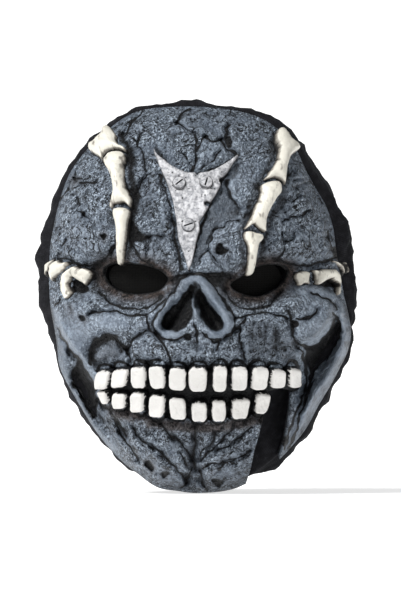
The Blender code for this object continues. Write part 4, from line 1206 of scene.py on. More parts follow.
@dataclass
class CastFace:
    """The cast latex face: a domed wall with its relief, eye holes and the notch in its jaw."""

    columns: int = 280
    rows: int = 320
    crack_depth: float = 0.0013
    crease_depth: float = 0.0021
    ridge_height: float = 0.0050
    ridge_wash: float = 0.36
    shade_wash: float = 0.90
    crease_wash: float = 0.35
    fibre_wash: float = 0.55
    lip_share: float = 0.30
    fibre_depth: float = 0.0009
    lip_height: float = 0.0009
    inner_depth: float = 0.0030
    inner_share: float = 0.08

    def places(self, grid: Array) -> tuple[Array, Array]:
        """Spreads the square grid over the drawing of the face.

        Args:
            grid: places on the grid, each from -1 to 1.

        Returns:
            The same places across and up.
        """
        a, b = grid[:, 0], grid[:, 1]
        du, dv = a * np.sqrt(1 - b**2 / 2), b * np.sqrt(1 - a**2 / 2)
        angle = np.arctan2(dv, du)
        rho = np.clip(np.hypot(du, dv), 0, 1)
        reach = rho * FORM.reach(angle)
        return MIDDLE[0] + reach * np.cos(angle), MIDDLE[1] + reach * np.sin(angle)

    def drawn(self, u: Array, v: Array) -> tuple[Array, ...]:
        """Works out what the drawn areas, lines and fans do.

        Args:
            u: places across.
            v: places up.

        Returns:
            Height in metres, wash, stain, the distance to the nearest crack as a share of its half width, and
            how smooth the ridges leave each place, from 0 to 1. The wash holds black paint, and painted shade
            and shadow from the shade lines and shade areas.
        """
        height, wash, stain = np.zeros(u.shape), np.zeros(u.shape), np.zeros(u.shape)
        crack = np.full(u.shape, 4.0)
        wobble_u = u + 1.3 * lumps(u, v, 7.0, 301, 2)
        wobble_v = v + 1.3 * lumps(u, v, 7.0, 302, 2)
        thin = 0.95 + 0.75 * lumps(u, v, 5.0, 303)
        for area in AREAS.values():
            outline = smooth_line(on_sheet(area.outline), 90, closed=True)
            deep = depth_inside(wobble_u, wobble_v, outline, 12.0)
            within = smooth_step(-0.5 * area.edge, 0.5 * area.edge, deep)
            height -= 0.001 * area.back * within
            wash = np.maximum(wash, area.wash * within)
            stain = np.maximum(stain, area.stain * smooth_step(-6, 1, deep))
        ridges = np.zeros(u.shape)
        lines = [Line(kind, *row) for kind, rows in LINES.items() for row in rows.values()]
        for line in [*lines, *self.gum_arcs()]:
            places = on_sheet(line.course)
            course = smooth_line(places, 10 * len(places))
            jitter = 0.0 if line.kind is Stroke.RIDGE else 1.0
            bent_u, bent_v = u + jitter * (wobble_u - u), v + jitter * (wobble_v - v)
            far = line_distance(bent_u, bent_v, course, 7 * line.half)
            dip = np.exp(-((far / line.half) ** 2))
            wide = np.exp(-((far / (1.7 * line.half)) ** 2))
            lip = np.exp(-(((far - 3.0 * line.half) / (1.3 * line.half)) ** 2))
            if line.kind is Stroke.RIDGE:
                ridges = np.maximum(ridges, self.ridge_height * line.strength * dip)
            elif line.kind is Stroke.SHADE:
                wash = np.maximum(wash, self.shade_wash * line.strength * dip)
            elif line.kind is Stroke.CRACK:
                height -= self.crack_depth * line.strength * (wide - self.lip_share * lip)
                crack = np.minimum(crack, far / (0.50 * line.half * thin))
            else:
                height -= self.crease_depth * line.strength * (wide - self.lip_share * lip)
                wash = np.maximum(wash, self.crease_wash * line.strength * dip)
                crack = np.minimum(crack, far / (0.52 * line.half * (0.4 + 0.6 * thin)))
        for fan in FANS.values():
            first = smooth_line(on_sheet(fan.first), 40)
            last = smooth_line(on_sheet(fan.last), 40)
            for t in np.linspace(0, 1, fan.count):
                course = first + t * (last - first)
                far = line_distance(wobble_u, wobble_v, course, 6 * fan.half)
                dip = np.exp(-((far / fan.half) ** 2))
                height -= self.fibre_depth * fan.strength * dip
                wash = np.maximum(wash, self.fibre_wash * fan.strength * dip * np.clip(thin, 0.3, 1.2))
        smooth = np.clip(ridges / (self.ridge_height * 0.8), 0, 1)
        wash = np.maximum(wash, self.ridge_wash * smooth)
        return height + ridges, wash, stain, crack, smooth

    def gum_arcs(self) -> list[Line]:
        """Returns the black creases that run round the root of each tooth."""
        arcs = []
        for row, teeth in TEETH.items():
            sign = -1 if row is Row.UPPER else 1
            for tooth in teeth:
                root = tooth.top if row is Row.UPPER else tooth.bottom
                middle, half = 0.5 * (tooth.left + tooth.right), 0.5 * (tooth.right - tooth.left)
                arcs.append(Line(Stroke.CREASE, 2.4, 1.0, (
                    (middle - half - 1, root - sign * 3), (middle - 0.7 * half, root + sign * 3.0),
                    (middle, root + sign * 4.8), (middle + 0.7 * half, root + sign * 3.0),
                    (middle + half + 1, root - sign * 3))))
        return arcs

    def stone(self, u: Array, v: Array) -> tuple[Array, Array, Array]:
        """Works out the rough stone-like skin: lumps, wrinkles and pits.

        Args:
            u: places across.
            v: places up.

        Returns:
            Height in metres, wash, and how rough each place is, from 0 to 1.
        """
        wu = u + 5.0 * lumps(u, v, 22.0, 11, 2)
        wv = v + 5.0 * lumps(u, v, 22.0, 12, 2)
        height = 0.0012 * lumps(wu, wv, 17.0, 21, 3)
        slant_u, slant_v = 0.70 * (wu + wv), 0.70 * (wv - wu)
        wrinkle = 1 - np.abs(lumps(slant_u / 1.8, slant_v, 5.5, 25, 2))
        height += 0.00055 * (wrinkle - 0.6) + 0.00035 * lumps(u, v, 3.2, 23, 2)
        first, second, _ = cells(wu, wv, 31.0, 31)
        open_here = smooth_step(0.25, 0.6, lumps(u, v, 20.0, 33, 2))
        crease = np.exp(-(((second - first) / 0.030) ** 2)) * open_here
        height -= 0.0007 * crease
        wash = 0.6 * crease
        # the pits are darkened: black paint and painted shadow in them
        for size, share, depth, seed in ((9.5, 0.88, 0.0008, 51), (5.0, 0.74, 0.0005, 61)):
            off_u, off_v = (1.2 * lumps(u, v, 4.0, seed + k) for k in (2, 3))
            first, _, number = cells(u + off_u, v + off_v, size, seed)
            radius = 0.13 + 0.30 * np.clip(number - share, 0, 1)
            pit = (number > share) * smooth_step(1.25, 0.5, first / radius)
            height -= depth * pit
            wash = np.maximum(wash, 0.6 * pit)
        smoothness = np.zeros(u.shape)
        for x, y, half_wide, half_tall in SMOOTH_PLACES.values():
            far = np.hypot((u - x + SHEET[0]) / half_wide, (v - SHEET[1] + y) / half_tall)
            smoothness = np.maximum(smoothness, np.exp(-0.7 * far**2))
        keep = 1 - 0.7 * smoothness
        return height * keep, wash * keep, keep

    def build(self) -> Piece:
        """Models and dresses the face.

        Returns:
            The finished piece.
        """
        face, order = ordered_grid("cast_face", self.columns, self.rows)
        shape = (self.rows + 1, self.columns + 1)
        u, v = (values.reshape(shape) for values in self.places(points_of(face)[order, :2]))
        drop = np.zeros(shape, bool)
        lip = np.full(u.size, 30.0)
        for outline in EYE_OUTLINES.values():
            course = smooth_line(on_sheet(outline), 120, closed=True)
            hole = inside(u, v, course)
            u, v = snapped(u, v, course, hole)
            drop |= hole
            lip = np.minimum(lip, line_distance(u.ravel(), v.ravel(), np.vstack([course, course[:1]]), 30))
        notch = on_sheet(JAW_NOTCH)
        hole = inside(u, v, notch)
        u, v = snapped(u, v, notch, hole)
        drop |= hole
        u, v = u.ravel(), v.ravel()
        relief, paint = self.relief(u, v, lip, shape)
        points, _ = FORM.raised(u, v, relief)
        back = np.argsort(order)
        set_points(face, points[back])
        for name, values in (("across", u), ("up", v), ("relief", relief), *paint.items()):
            set_attribute(face, name, values[back])
        lowest = lowest_near(relief.reshape(shape), 2).ravel()
        set_attribute(face, "lowest", lowest[back])
        delete_where(face, drop.ravel()[back])
        outside = len(face.data.vertices)
        thicken(face, WALL)
        u, v, lowest = (get_attribute(face, name)[outside:] for name in ("across", "up", "lowest"))
        plain = np.minimum(FORM.broad(u, v), 0.6 * RELIEF) * FORM.fade(u, v)
        points = points_of(face)
        inner, normals = FORM.raised(u, v, np.minimum(plain, lowest))
        points[outside:] = inner - normals * self.inner_depth
        set_points(face, points)
        wash = get_attribute(face, "wash")
        wash[outside:] = 1.0
        set_attribute(face, "wash", wash)
        thin_inside(face, outside, self.inner_share)
        smooth(face)
        dress(face, StonePaint().build(), ["face_shell"])
        return face

    def relief(
        self, u: Array, v: Array, lip: Array, shape: tuple[int, int]
    ) -> tuple[Array, dict[str, Array]]:
        """Works out the height of the skin and the paint that lies on it.

        Args:
            u: places across.
            v: places up.
            lip: distance to the nearest eye hole.
            shape: rows and columns of the grid that the places come from.

        Returns:
            The height over the dome in metres, and the paint's attributes by name.
        """
        drawn, wash, stain, crack, smooth = self.drawn(u, v)
        rough, rough_wash, keep = self.stone(u, v)
        rough, rough_wash, keep = (values * (1 - 0.75 * smooth) for values in (rough, rough_wash, keep))
        fade = FORM.fade(u, v)
        rolled = self.lip_height * np.exp(-(((lip - 2.6) / 2.0) ** 2))
        relief = FORM.broad(u, v) * fade + (drawn + rolled) * np.clip(fade * 1.6, 0, 1)
        relief = relief + rough * np.clip(fade * 4, 0.3, 1)
        relief = np.maximum(relief, -FORM.room(u, v) + 0.0008)
        square = relief.reshape(shape)
        # painted shade: the wash grows where the skin lies lower than the places round it, in small hollows
        # and in the broad valleys between lobes, on top of the black paint
        near_low = blurred(square, 2).ravel() - relief
        wide_low = blurred(square, 7).ravel() - relief
        hollows = np.clip(near_low / 0.0030, 0, 0.20) + np.clip(wide_low / 0.0060, 0, 0.22)
        wash = np.clip(np.maximum(wash, rough_wash) + hollows, 0, 1)
        wash = np.maximum(wash * (1 - 0.5 * np.exp(-((lip / 9.0) ** 2))), np.exp(-((lip / 1.8) ** 2)))
        stain = np.clip(stain + 1.2 * np.exp(-((lip / 10.0) ** 2)), 0, 1)
        brush = np.clip(-near_low / 0.00022, 0, 1) * 0.65 + np.clip(-wide_low / 0.0010, 0, 1) * 0.45
        brush = np.clip(brush * (1 - wash), 0, 1)
        return relief, {"wash": wash, "stain": stain, "brush": brush, "crack": crack, "rough": keep}


# What is raised on the face


@dataclass
class Raised:
    """A raised piece of the casting, puffed up within its outline and bedded in the face."""

    name: str
    outlines: list
    height: float
    shoulder: float
    fullness: float = 2.0
    cell: float = 0.62
    bedding: float = 0.0022
    waviness: float = 0.0002
    seed: int = 1
    hidden_share: float = 0.12

    def build(self) -> Piece:
        """Models the piece, and keeps its distance from the edge as the attribute rim, in drawing units.

        Returns:
            The piece, without a finish.
        """
        curves = [np.asarray(outline, float) for outline in self.outlines]
        low = np.min([curve.min(axis=0) for curve in curves], axis=0) - 2 * self.cell
        high = np.max([curve.max(axis=0) for curve in curves], axis=0) + 2 * self.cell
        columns, rows = (int(math.ceil(size / self.cell)) for size in high - low)
        piece, order = ordered_grid(self.name, columns, rows)
        grid = (points_of(piece)[order, :2] + 1) / 2
        shape = (rows + 1, columns + 1)
        u = (low[0] + grid[:, 0] * (high[0] - low[0])).reshape(shape)
        v = (low[1] + grid[:, 1] * (high[1] - low[1])).reshape(shape)
        drop = np.ones(shape, bool)
        for curve in curves:
            drop &= ~inside(u, v, curve)
        for curve in curves:
            u, v = snapped(u, v, curve, drop)
        rim = np.full(u.size, 40.0)
        for curve in curves:
            rim = np.minimum(rim, line_distance(u.ravel(), v.ravel(), np.vstack([curve, curve[:1]]), 40))
        rim[drop.ravel()] = 0
        soft = blurred(rim.reshape(shape), 2).ravel()
        rim = rim + (soft - rim) * smooth_step(1.5, 3.5, rim)
        rise = (1 - (1 - np.clip(rim / self.shoulder, 0, 1)) ** self.fullness) ** (1 / self.fullness)
        u, v = u.ravel(), v.ravel()
        waves = self.waviness * lumps(u, v, 5.0, self.seed, 3) * np.clip(rim / 2, 0, 1)
        back = np.argsort(order)
        set_points(piece, on_face(u, v, self.height * rise + waves)[back])
        for name, values in (("across", u), ("up", v), ("rim", rim)):
            set_attribute(piece, name, values[back])
        delete_where(piece, drop.ravel()[back])
        outside = len(piece.data.vertices)
        thicken(piece, self.bedding)
        u, v = (get_attribute(piece, name)[outside:] for name in ("across", "up"))
        points = points_of(piece)
        points[outside:] = on_face(u, v, np.full(len(u), -self.bedding))
        set_points(piece, points)
        rim = get_attribute(piece, "rim")
        rim[outside:] = 0
        set_attribute(piece, "rim", rim)
        thin_inside(piece, outside, self.hidden_share)
        smooth(piece)
        return piece


@dataclass(frozen=True)
class Tooth:
    """A tooth on the sheet: its sides, its top's lean to the right, its foot's narrowing and its slant."""

    left: float
    right: float
    top: float
    bottom: float
    lean: float = 0.0
    narrow: float = 0.0
    slant: float = 0.0

    def outline(self, seed: int) -> Array:
        """Returns the outline of the tooth, with its own unevenness.

        Args:
            seed: which unevenness.

        Returns:
            The places across and up.
        """
        t = np.linspace(0, 2 * math.pi, 72, endpoint=False)
        a = np.sign(np.cos(t)) * np.abs(np.cos(t)) ** 0.5
        b = np.sign(np.sin(t)) * np.abs(np.sin(t)) ** 0.5
        half_wide, half_tall = (self.right - self.left) / 2, (self.bottom - self.top) / 2
        u = (self.left + self.right) / 2 - SHEET[0]
        u = u + a * half_wide * (1 + self.narrow * (b - 1) / 2) + self.lean * b
        v = SHEET[1] - (self.top + self.bottom) / 2 + b * half_tall + self.slant * a
        return np.stack([u + 0.45 * lumps(u, v, 4.0, seed), v + 0.45 * lumps(u, v, 4.0, seed + 50)], axis=1)


TEETH = {
    Row.UPPER: (
        Tooth(97.6, 113.7, 368.7, 388, 1.5, 0.1),
        Tooth(114.4, 131.6, 366.9, 386.2, 0.8, 0.06, 0.8),
        Tooth(133.1, 149.1, 364.8, 386.6, -0.6, 0.06),
        Tooth(150.3, 167.9, 364.1, 387, -1.2, 0.16),
        Tooth(169.7, 187.2, 365.8, 388.7, 0, 0.08),
        Tooth(187.8, 207.7, 365.1, 389.5, 0, 0.08),
        Tooth(211.3, 226.3, 363.9, 389.9, 0.3, 0.04),
        Tooth(229.2, 246, 364.3, 388.7, 0.6, 0.04),
        Tooth(248.6, 265.5, 365, 388.5, 1.2, 0.02),
        Tooth(266.9, 282.7, 367.5, 386.6, 0.6, 0.05),
        Tooth(284.7, 298.3, 365.8, 386.6, 0, 0.06),
    ),
    Row.LOWER: (
        Tooth(101.5, 113, 388.7, 402.4, -2.2, 0.35),
        Tooth(114.8, 129.8, 390.5, 406.7, 0, 0.05),
        Tooth(132.3, 147.8, 390.2, 410.3, 0, 0.06),
        Tooth(150.3, 167.9, 392.3, 414.9, 0.3, 0.08),
        Tooth(169.9, 187.2, 395.2, 417, -0.8, 0.1),
        Tooth(190.9, 207.4, 399.1, 418.9, 0, 0.04),
        Tooth(210.5, 225.3, 397.1, 418.6, 0, 0.04),
        Tooth(228.9, 248.1, 395.6, 416.3, 0.8, 0.16, 0.6),
        Tooth(251.4, 267.2, 390.5, 411.7, 2, 0.2),
    ),
}


@dataclass
class Teeth:
    """Both rows of cast and painted teeth."""

    height: float = 0.0052
    shoulder: float = 3.0
    fullness: float = 2.2

    def build(self) -> list[Piece]:
        """Models and dresses the teeth.

        Returns:
            The finished pieces.
        """
        paint = ToothPaint().build()
        pieces = []
        for row, teeth in TEETH.items():
            for number, tooth in enumerate(teeth, 1):
                seed = 400 + 20 * number + (7 if row is Row.LOWER else 0)
                name = f"{row.value}_tooth_cast_{number:02d}"
                raised = Raised(name, [tooth.outline(seed)], self.height, self.shoulder, self.fullness,
                                cell=0.55, seed=seed, waviness=0.00025)
                piece = raised.build()
                rim = get_attribute(piece, "rim")
                set_attribute(piece, "wash", 1 - smooth_step(0.2, 1.9, rim))
                dress(piece, paint, [f"{row.value}_tooth_{number:02d}"])
                pieces.append(piece)
        return pieces


BONES = {
    "left_knuckle": ((108.7, 127.4, 112.5, 129.5, 115.8, 133.3, 118.5, 138.2, 118, 142.5, 120.7, 146.6,
        124.5, 148, 127.3, 150.7, 126.6, 153.9, 124.5, 153.2, 119, 151.6, 113.6, 152.3, 108.7, 153.9,
        106, 157.2, 104.7, 161.5, 103.9, 165.3, 101.7, 159.9, 96.3, 156.6, 91.9, 153.4, 90.3, 149,
        91.9, 144.7, 95.7, 142.5, 99, 138.7, 102.8, 135, 104.4, 130.6),),
    "left_phalanx": ((108.2, 157.7, 110.9, 155, 115.8, 153.7, 122.3, 153.7, 126.6, 156.1, 128, 159.9,
        127.4, 164.2, 126.1, 169.7, 126.6, 176.2, 127.7, 183.8, 129.3, 191.3, 132, 196.8, 133.9, 202.2,
        133.1, 207, 131.4, 209.4, 129.3, 207.6, 126.6, 205.2, 123.9, 204.4, 120.1, 205.8, 116.3, 208.2,
        113.8, 210.4, 111.8, 209.2, 112, 204.4, 113.6, 197.9, 114.5, 190.3, 113.6, 183.8, 112.5, 179.4,
        109.8, 172.9, 106.6, 167.5, 105.4, 162.1),),
    "left_fingertip": ((114.7, 212.5, 117.4, 209.8, 123.4, 208.9, 129.9, 210.3, 132.4, 213, 131.5, 218.5,
        129.9, 225, 129.3, 234.7, 127.7, 245.6, 126.6, 258.6, 125.6, 265.1, 122.8, 266.5, 120.1, 265.1,
        118.8, 258.6, 118.2, 245.6, 118, 234.7, 117.1, 225, 115.3, 218.5),),
    "right_knuckle": ((280.2, 129.4, 283.8, 131.8, 286.8, 136.7, 290.5, 141.5, 295.3, 145.2, 297.7, 149.4,
        294.1, 153.6, 289.2, 157.3, 286.8, 162.1, 284.4, 170.6, 283.2, 179.1, 282.6, 187.6, 280.2, 183.7,
        277.1, 181.3, 272.3, 179.9, 267.4, 181.3, 262.6, 182.5, 262, 181.1, 264.4, 177.9, 269.2, 170.6,
        273.5, 163.3, 275.3, 157.3, 276.5, 151.2, 275.3, 145.2, 273.5, 141.5, 274.1, 135.5, 275.9, 131.2),),
    "right_phalanx": ((261.4, 185.2, 266.2, 183.3, 272.3, 182.3, 276.5, 184, 278.9, 188.8, 278.3, 194.8,
        274.7, 199.7, 271.1, 205.8, 267.4, 213, 265, 220.3, 264.4, 226.4, 264.4, 232.4, 262.4, 234,
        258.9, 232, 254.7, 229, 251.7, 226.2, 248, 228.4, 243.4, 231.4, 242.2, 229.6, 245, 225.2,
        249.2, 217.9, 252.9, 208.2, 257.1, 198.5, 258.3, 192.4, 258.2, 188.2),),
    "right_fingertip": ((243.2, 232.6, 248, 231.9, 254.1, 233.7, 260.2, 235.6, 262, 239.1, 260.8, 242.1,
        257.7, 245.8, 256.8, 250.6, 255.3, 259.1, 253.5, 268.8, 251.1, 274.8, 246.8, 277, 243.2, 275.5,
        243.8, 271.2, 245.6, 262.7, 246.2, 254.2, 245.6, 247, 242.6, 240.9, 241.7, 236.1),),
    "left_side_knuckle": ((56.3, 258.2, 52, 260.2, 48, 262.5, 45.8, 265, 45.3, 270, 45.8, 275, 47.3, 279,
        48.3, 281, 47.8, 276.5, 48.8, 272.5, 51, 273, 50.6, 268, 52.3, 264.3, 55, 261.2),),
    "left_side_phalanx": ((60.8, 260.1, 61.5, 261.9, 64.4, 262.5, 68.2, 261.7, 70.4, 264.1, 70.1, 267,
        66.8, 270.8, 63.9, 273.7, 60.6, 275.6, 57.9, 278.5, 56.7, 282.8, 54.4, 280.4, 52.2, 275.6,
        51.7, 271.8, 52.2, 266.5, 54.8, 262.7, 57.7, 260.8),),
    "left_side_claw": ((76.8, 266.1, 81.1, 268, 86.9, 268.4, 91.7, 270.4, 94.1, 272.3, 95, 274.2, 94.1, 277.5,
        91.7, 281.4, 88.3, 286.1, 85.9, 283.8, 83.1, 282.6, 79.7, 280.4, 76.4, 278.3, 74.4, 277.3,
        73.5, 279.4, 72.1, 282.6, 70.6, 284.2, 71.1, 287.1, 73, 290, 74.2, 292.4, 73, 295.2, 69.2, 299.1,
        66.8, 297.6, 64.9, 293.8, 63.4, 289.5, 63, 284.7, 63.4, 280.4, 63.9, 276.1, 65.4, 273.2, 68.7, 270.4,
        72.5, 268),),
    "right_side_tip": ((292.7, 274.9, 296, 272, 300.3, 271.1, 304.1, 271.5, 307, 273.4, 307.2, 276.8,
        306.5, 280.6, 306.8, 285.4, 305.1, 285.2, 301.3, 284.9, 298.4, 286.6, 295.3, 286.2, 294.1, 283.5,
        292.2, 279.7),),
    "right_side_claw": ((309.4, 271.6, 311.8, 270.1, 316.1, 270.1, 318.5, 269.1, 325.7, 269.1, 330.9, 269.1,
        334.3, 271.1, 336.7, 273.9, 338.1, 277.8, 338.6, 282.5, 338.1, 288.3, 337.9, 293.1, 336.4, 296.9,
        334.8, 295.5, 333.6, 292.1, 333.8, 288.3, 334.8, 285.4, 334.4, 283.5, 332.8, 282.7, 330.9, 282.6,
        329.5, 280.6, 328.1, 279.9, 324.7, 281.1, 321.4, 283, 318, 285.4, 314.7, 285.9, 312.8, 284,
        311.8, 279.7, 311.3, 273.8),),
    "right_side_knuckle": ((329, 260.6, 331.9, 260.3, 336.7, 262, 340.5, 264.4, 342.9, 268.2, 343.6, 273,
        342.4, 278, 341.6, 273.9, 340, 270, 337.6, 267.4, 334.8, 264.8, 331.9, 262.3), (341.4, 262.6,
        344.3, 262.2, 346.7, 265.4, 348.2, 270.4, 347.2, 273.7, 345, 272.6, 346, 270, 345, 266.4,
        343, 264.2)),
}


@dataclass
class FingerBones:
    """The cast finger bones, with knobs at their joints."""

    height: float = 0.0068
    slim_height: float = 0.0050
    thin_height: float = 0.0022

    def build(self) -> list[Piece]:
        """Models and dresses the bones.

        Returns:
            The finished pieces.
        """
        paint = BonePaint().build()
        pieces = []
        for number, (name, drawn) in enumerate(BONES.items()):
            curves = [smooth_line(on_sheet(outline), 200, closed=True) for outline in drawn]
            height, shoulder = self.height, 9.0
            if "side" in name:
                height, shoulder = self.slim_height, 6.0
            if "side_knuckle" in name:
                height, shoulder = self.thin_height, 2.5
            raised = Raised(
                name + "_cast", curves, height, shoulder, cell=0.6, waviness=0.0003, seed=700 + number)
            piece = raised.build()
            rim = get_attribute(piece, "rim")
            u, v = get_attribute(piece, "across"), get_attribute(piece, "up")
            streak = np.clip(lumps(u, v * 0.35, 2.4, 760 + number, 2) - 0.35, 0, 1)
            set_attribute(piece, "wash", np.clip(0.95 * np.exp(-((rim / 1.0) ** 2)) + 0.5 * streak, 0, 1))
            dress(piece, paint, [name])
            pieces.append(piece)
        return pieces


PLATE_OUTLINE = (153, 147, 157.9, 156, 163.9, 161.2, 170.8, 166.8, 177.7, 170.7, 184.6, 173.7, 189.8, 175,
    194.1, 174.5, 196, 175.4, 197.1, 177.3, 198.4, 175.6, 202, 174.8, 207, 174.1, 213.9, 171.5, 220.8, 167.7,
    227.7, 163.4, 232.9, 159.5, 237.4, 157.2, 237.6, 159.5, 233.7, 164.6, 230.3, 169.8, 226.8, 175,
    222.5, 179.3, 219.7, 180.3, 219.1, 183.2, 220.8, 186.2, 219.1, 190.5, 216.5, 195.7, 213, 200.8,
    210.2, 204.3, 206.4, 203.4, 204.4, 205.1, 206, 207.3, 208.7, 208.6, 207, 211.6, 204.4, 216.3,
    201.8, 220.6, 200.1, 223.2, 199.7, 227.5, 200.1, 231.8, 198.4, 236.1, 196.7, 243, 195, 251.6,
    193.2, 260.3, 190.7, 268, 188.5, 272.3, 187.2, 268, 185.5, 261.1, 182.9, 253.4, 180.3, 246.5,
    178.4, 241.3, 177.5, 234.4, 176.9, 227.5, 176.4, 222.4, 175.1, 215.5, 173.9, 208.6, 172.6, 201.7,
    170.8, 196.5, 168.3, 188.8, 165.7, 181.9, 162.7, 175.8, 159.6, 168.9, 157.1, 162.1, 154.4, 155.2)
SCREWS = {"one": (179.5, 186.5, 40), "two": (206.0, 186.0, 75), "three": (188.5, 227.5, 20)}


@dataclass
class ForeheadPlate:
    """The two-horned plate and its three slotted screws."""

    height: float = 0.0030
    shoulder: float = 1.6
    screw_radius: float = 0.0039
    screw_height: float = 0.0020
    slot_width: float = 0.0010

    def build(self) -> list[Piece]:
        """Models and dresses the plate and its screws.

        Returns:
            The finished pieces.
        """
        paint = PlatePaint().build()
        curve = smooth_line(on_sheet(PLATE_OUTLINE), 420, closed=True)
        plate = Raised("forehead_plate_cast", [curve], self.height, self.shoulder, 3.0, cell=0.6,
                       waviness=0.00035, seed=801, hidden_share=0.1).build()
        rim, u, v = (get_attribute(plate, name) for name in ("rim", "across", "up"))
        pits = np.clip(lumps(u, v, 3.2, 805, 2) - 0.75, 0, 1) * 2.2
        wash = 0.95 * np.exp(-((rim / 0.7) ** 2)) + pits
        for x, y, _ in SCREWS.values():
            ring = np.hypot(u - x + SHEET[0], v - SHEET[1] + y) * UNIT - self.screw_radius
            wash = wash + 0.75 * np.exp(-((ring / 0.0005) ** 2))
        set_attribute(plate, "wash", np.clip(wash, 0, 1))
        dress(plate, paint, ["forehead_plate"])
        pattern = self.screw_pattern()
        screws = [self.place_screw(copy_piece(pattern, f"plate_screw_cast_{name}"), *place, paint, name)
                  for name, place in SCREWS.items()]
        remove(pattern)
        return [plate, *screws]

    def screw_pattern(self) -> Piece:
        """Models one screw head with its slot, standing on the origin and facing up.

        Returns:
            The pattern.
        """
        deselect_all()
        bpy.ops.mesh.primitive_cylinder_add(
            vertices=40, radius=self.screw_radius, depth=2 * self.screw_height, location=(0, 0, 0))
        screw = bpy.context.object
        screw.name = "screw_pattern"
        bevel = screw.modifiers.new("edge", "BEVEL")
        bevel.width = 0.35 * self.screw_height
        bevel.segments = 4
        bevel.limit_method = "ANGLE"
        deselect_all()
        bpy.ops.mesh.primitive_cube_add(size=1, location=(0, 0, self.screw_height))
        slot = bpy.context.object
        slot.name = "slot_cutter"
        slot.scale = (1.5 * self.screw_radius, self.slot_width, 0.9 * self.screw_height)
        pick(slot)
        bpy.ops.object.transform_apply(location=True, rotation=True, scale=True)
        cut = screw.modifiers.new("slot", "BOOLEAN")
        cut.operation = "DIFFERENCE"
        cut.object = slot
        apply_modifiers(screw)
        remove(slot)
        return screw

    def place_screw(
        self, screw: Piece, x: float, y: float, turn: float, paint: Material, name: str
    ) -> Piece:
        """Sets a screw head on the plate.

        Args:
            screw: a copy of the pattern.
            x: its place from the left of the sheet.
            y: its place down from the top of the sheet.
            turn: how far its slot is turned, in degrees.
            paint: its finish.
            name: which screw it is.

        Returns:
            The finished piece.
        """
        u, v = np.array([x - SHEET[0]]), np.array([SHEET[1] - y])
        seat = on_face(u, v, np.array([self.height]))[0]
        _, normals = FORM.dome(u, v)
        normal = normals[0]
        right = np.array([1.0, 0.0, 0.0]) - normal * normal[0]
        right /= np.linalg.norm(right)
        top = np.cross(normal, right)
        c, s = math.cos(math.radians(turn)), math.sin(math.radians(turn))
        a, b, rise = points_of(screw).T
        wash = np.clip(1.3 - np.abs(rise) / self.screw_height, 0, 1) * 0.9
        slot = (np.abs(b) < 0.51 * self.slot_width) & (np.abs(a) < 0.76 * self.screw_radius) & (rise > 0)
        set_attribute(screw, "wash", np.where(slot & (rise < 0.95 * self.screw_height), 1.0, wash))
        across, along = a * c - b * s, a * s + b * c
        set_points(screw, seat + across[:, None] * right + along[:, None] * top + rise[:, None] * normal)
        pick(screw)
        bpy.ops.object.shade_smooth_by_angle(angle=math.radians(35))
        dress(screw, paint, [f"plate_screw_{name}"])
        return screw


# The hood and what is stretched behind the eyes


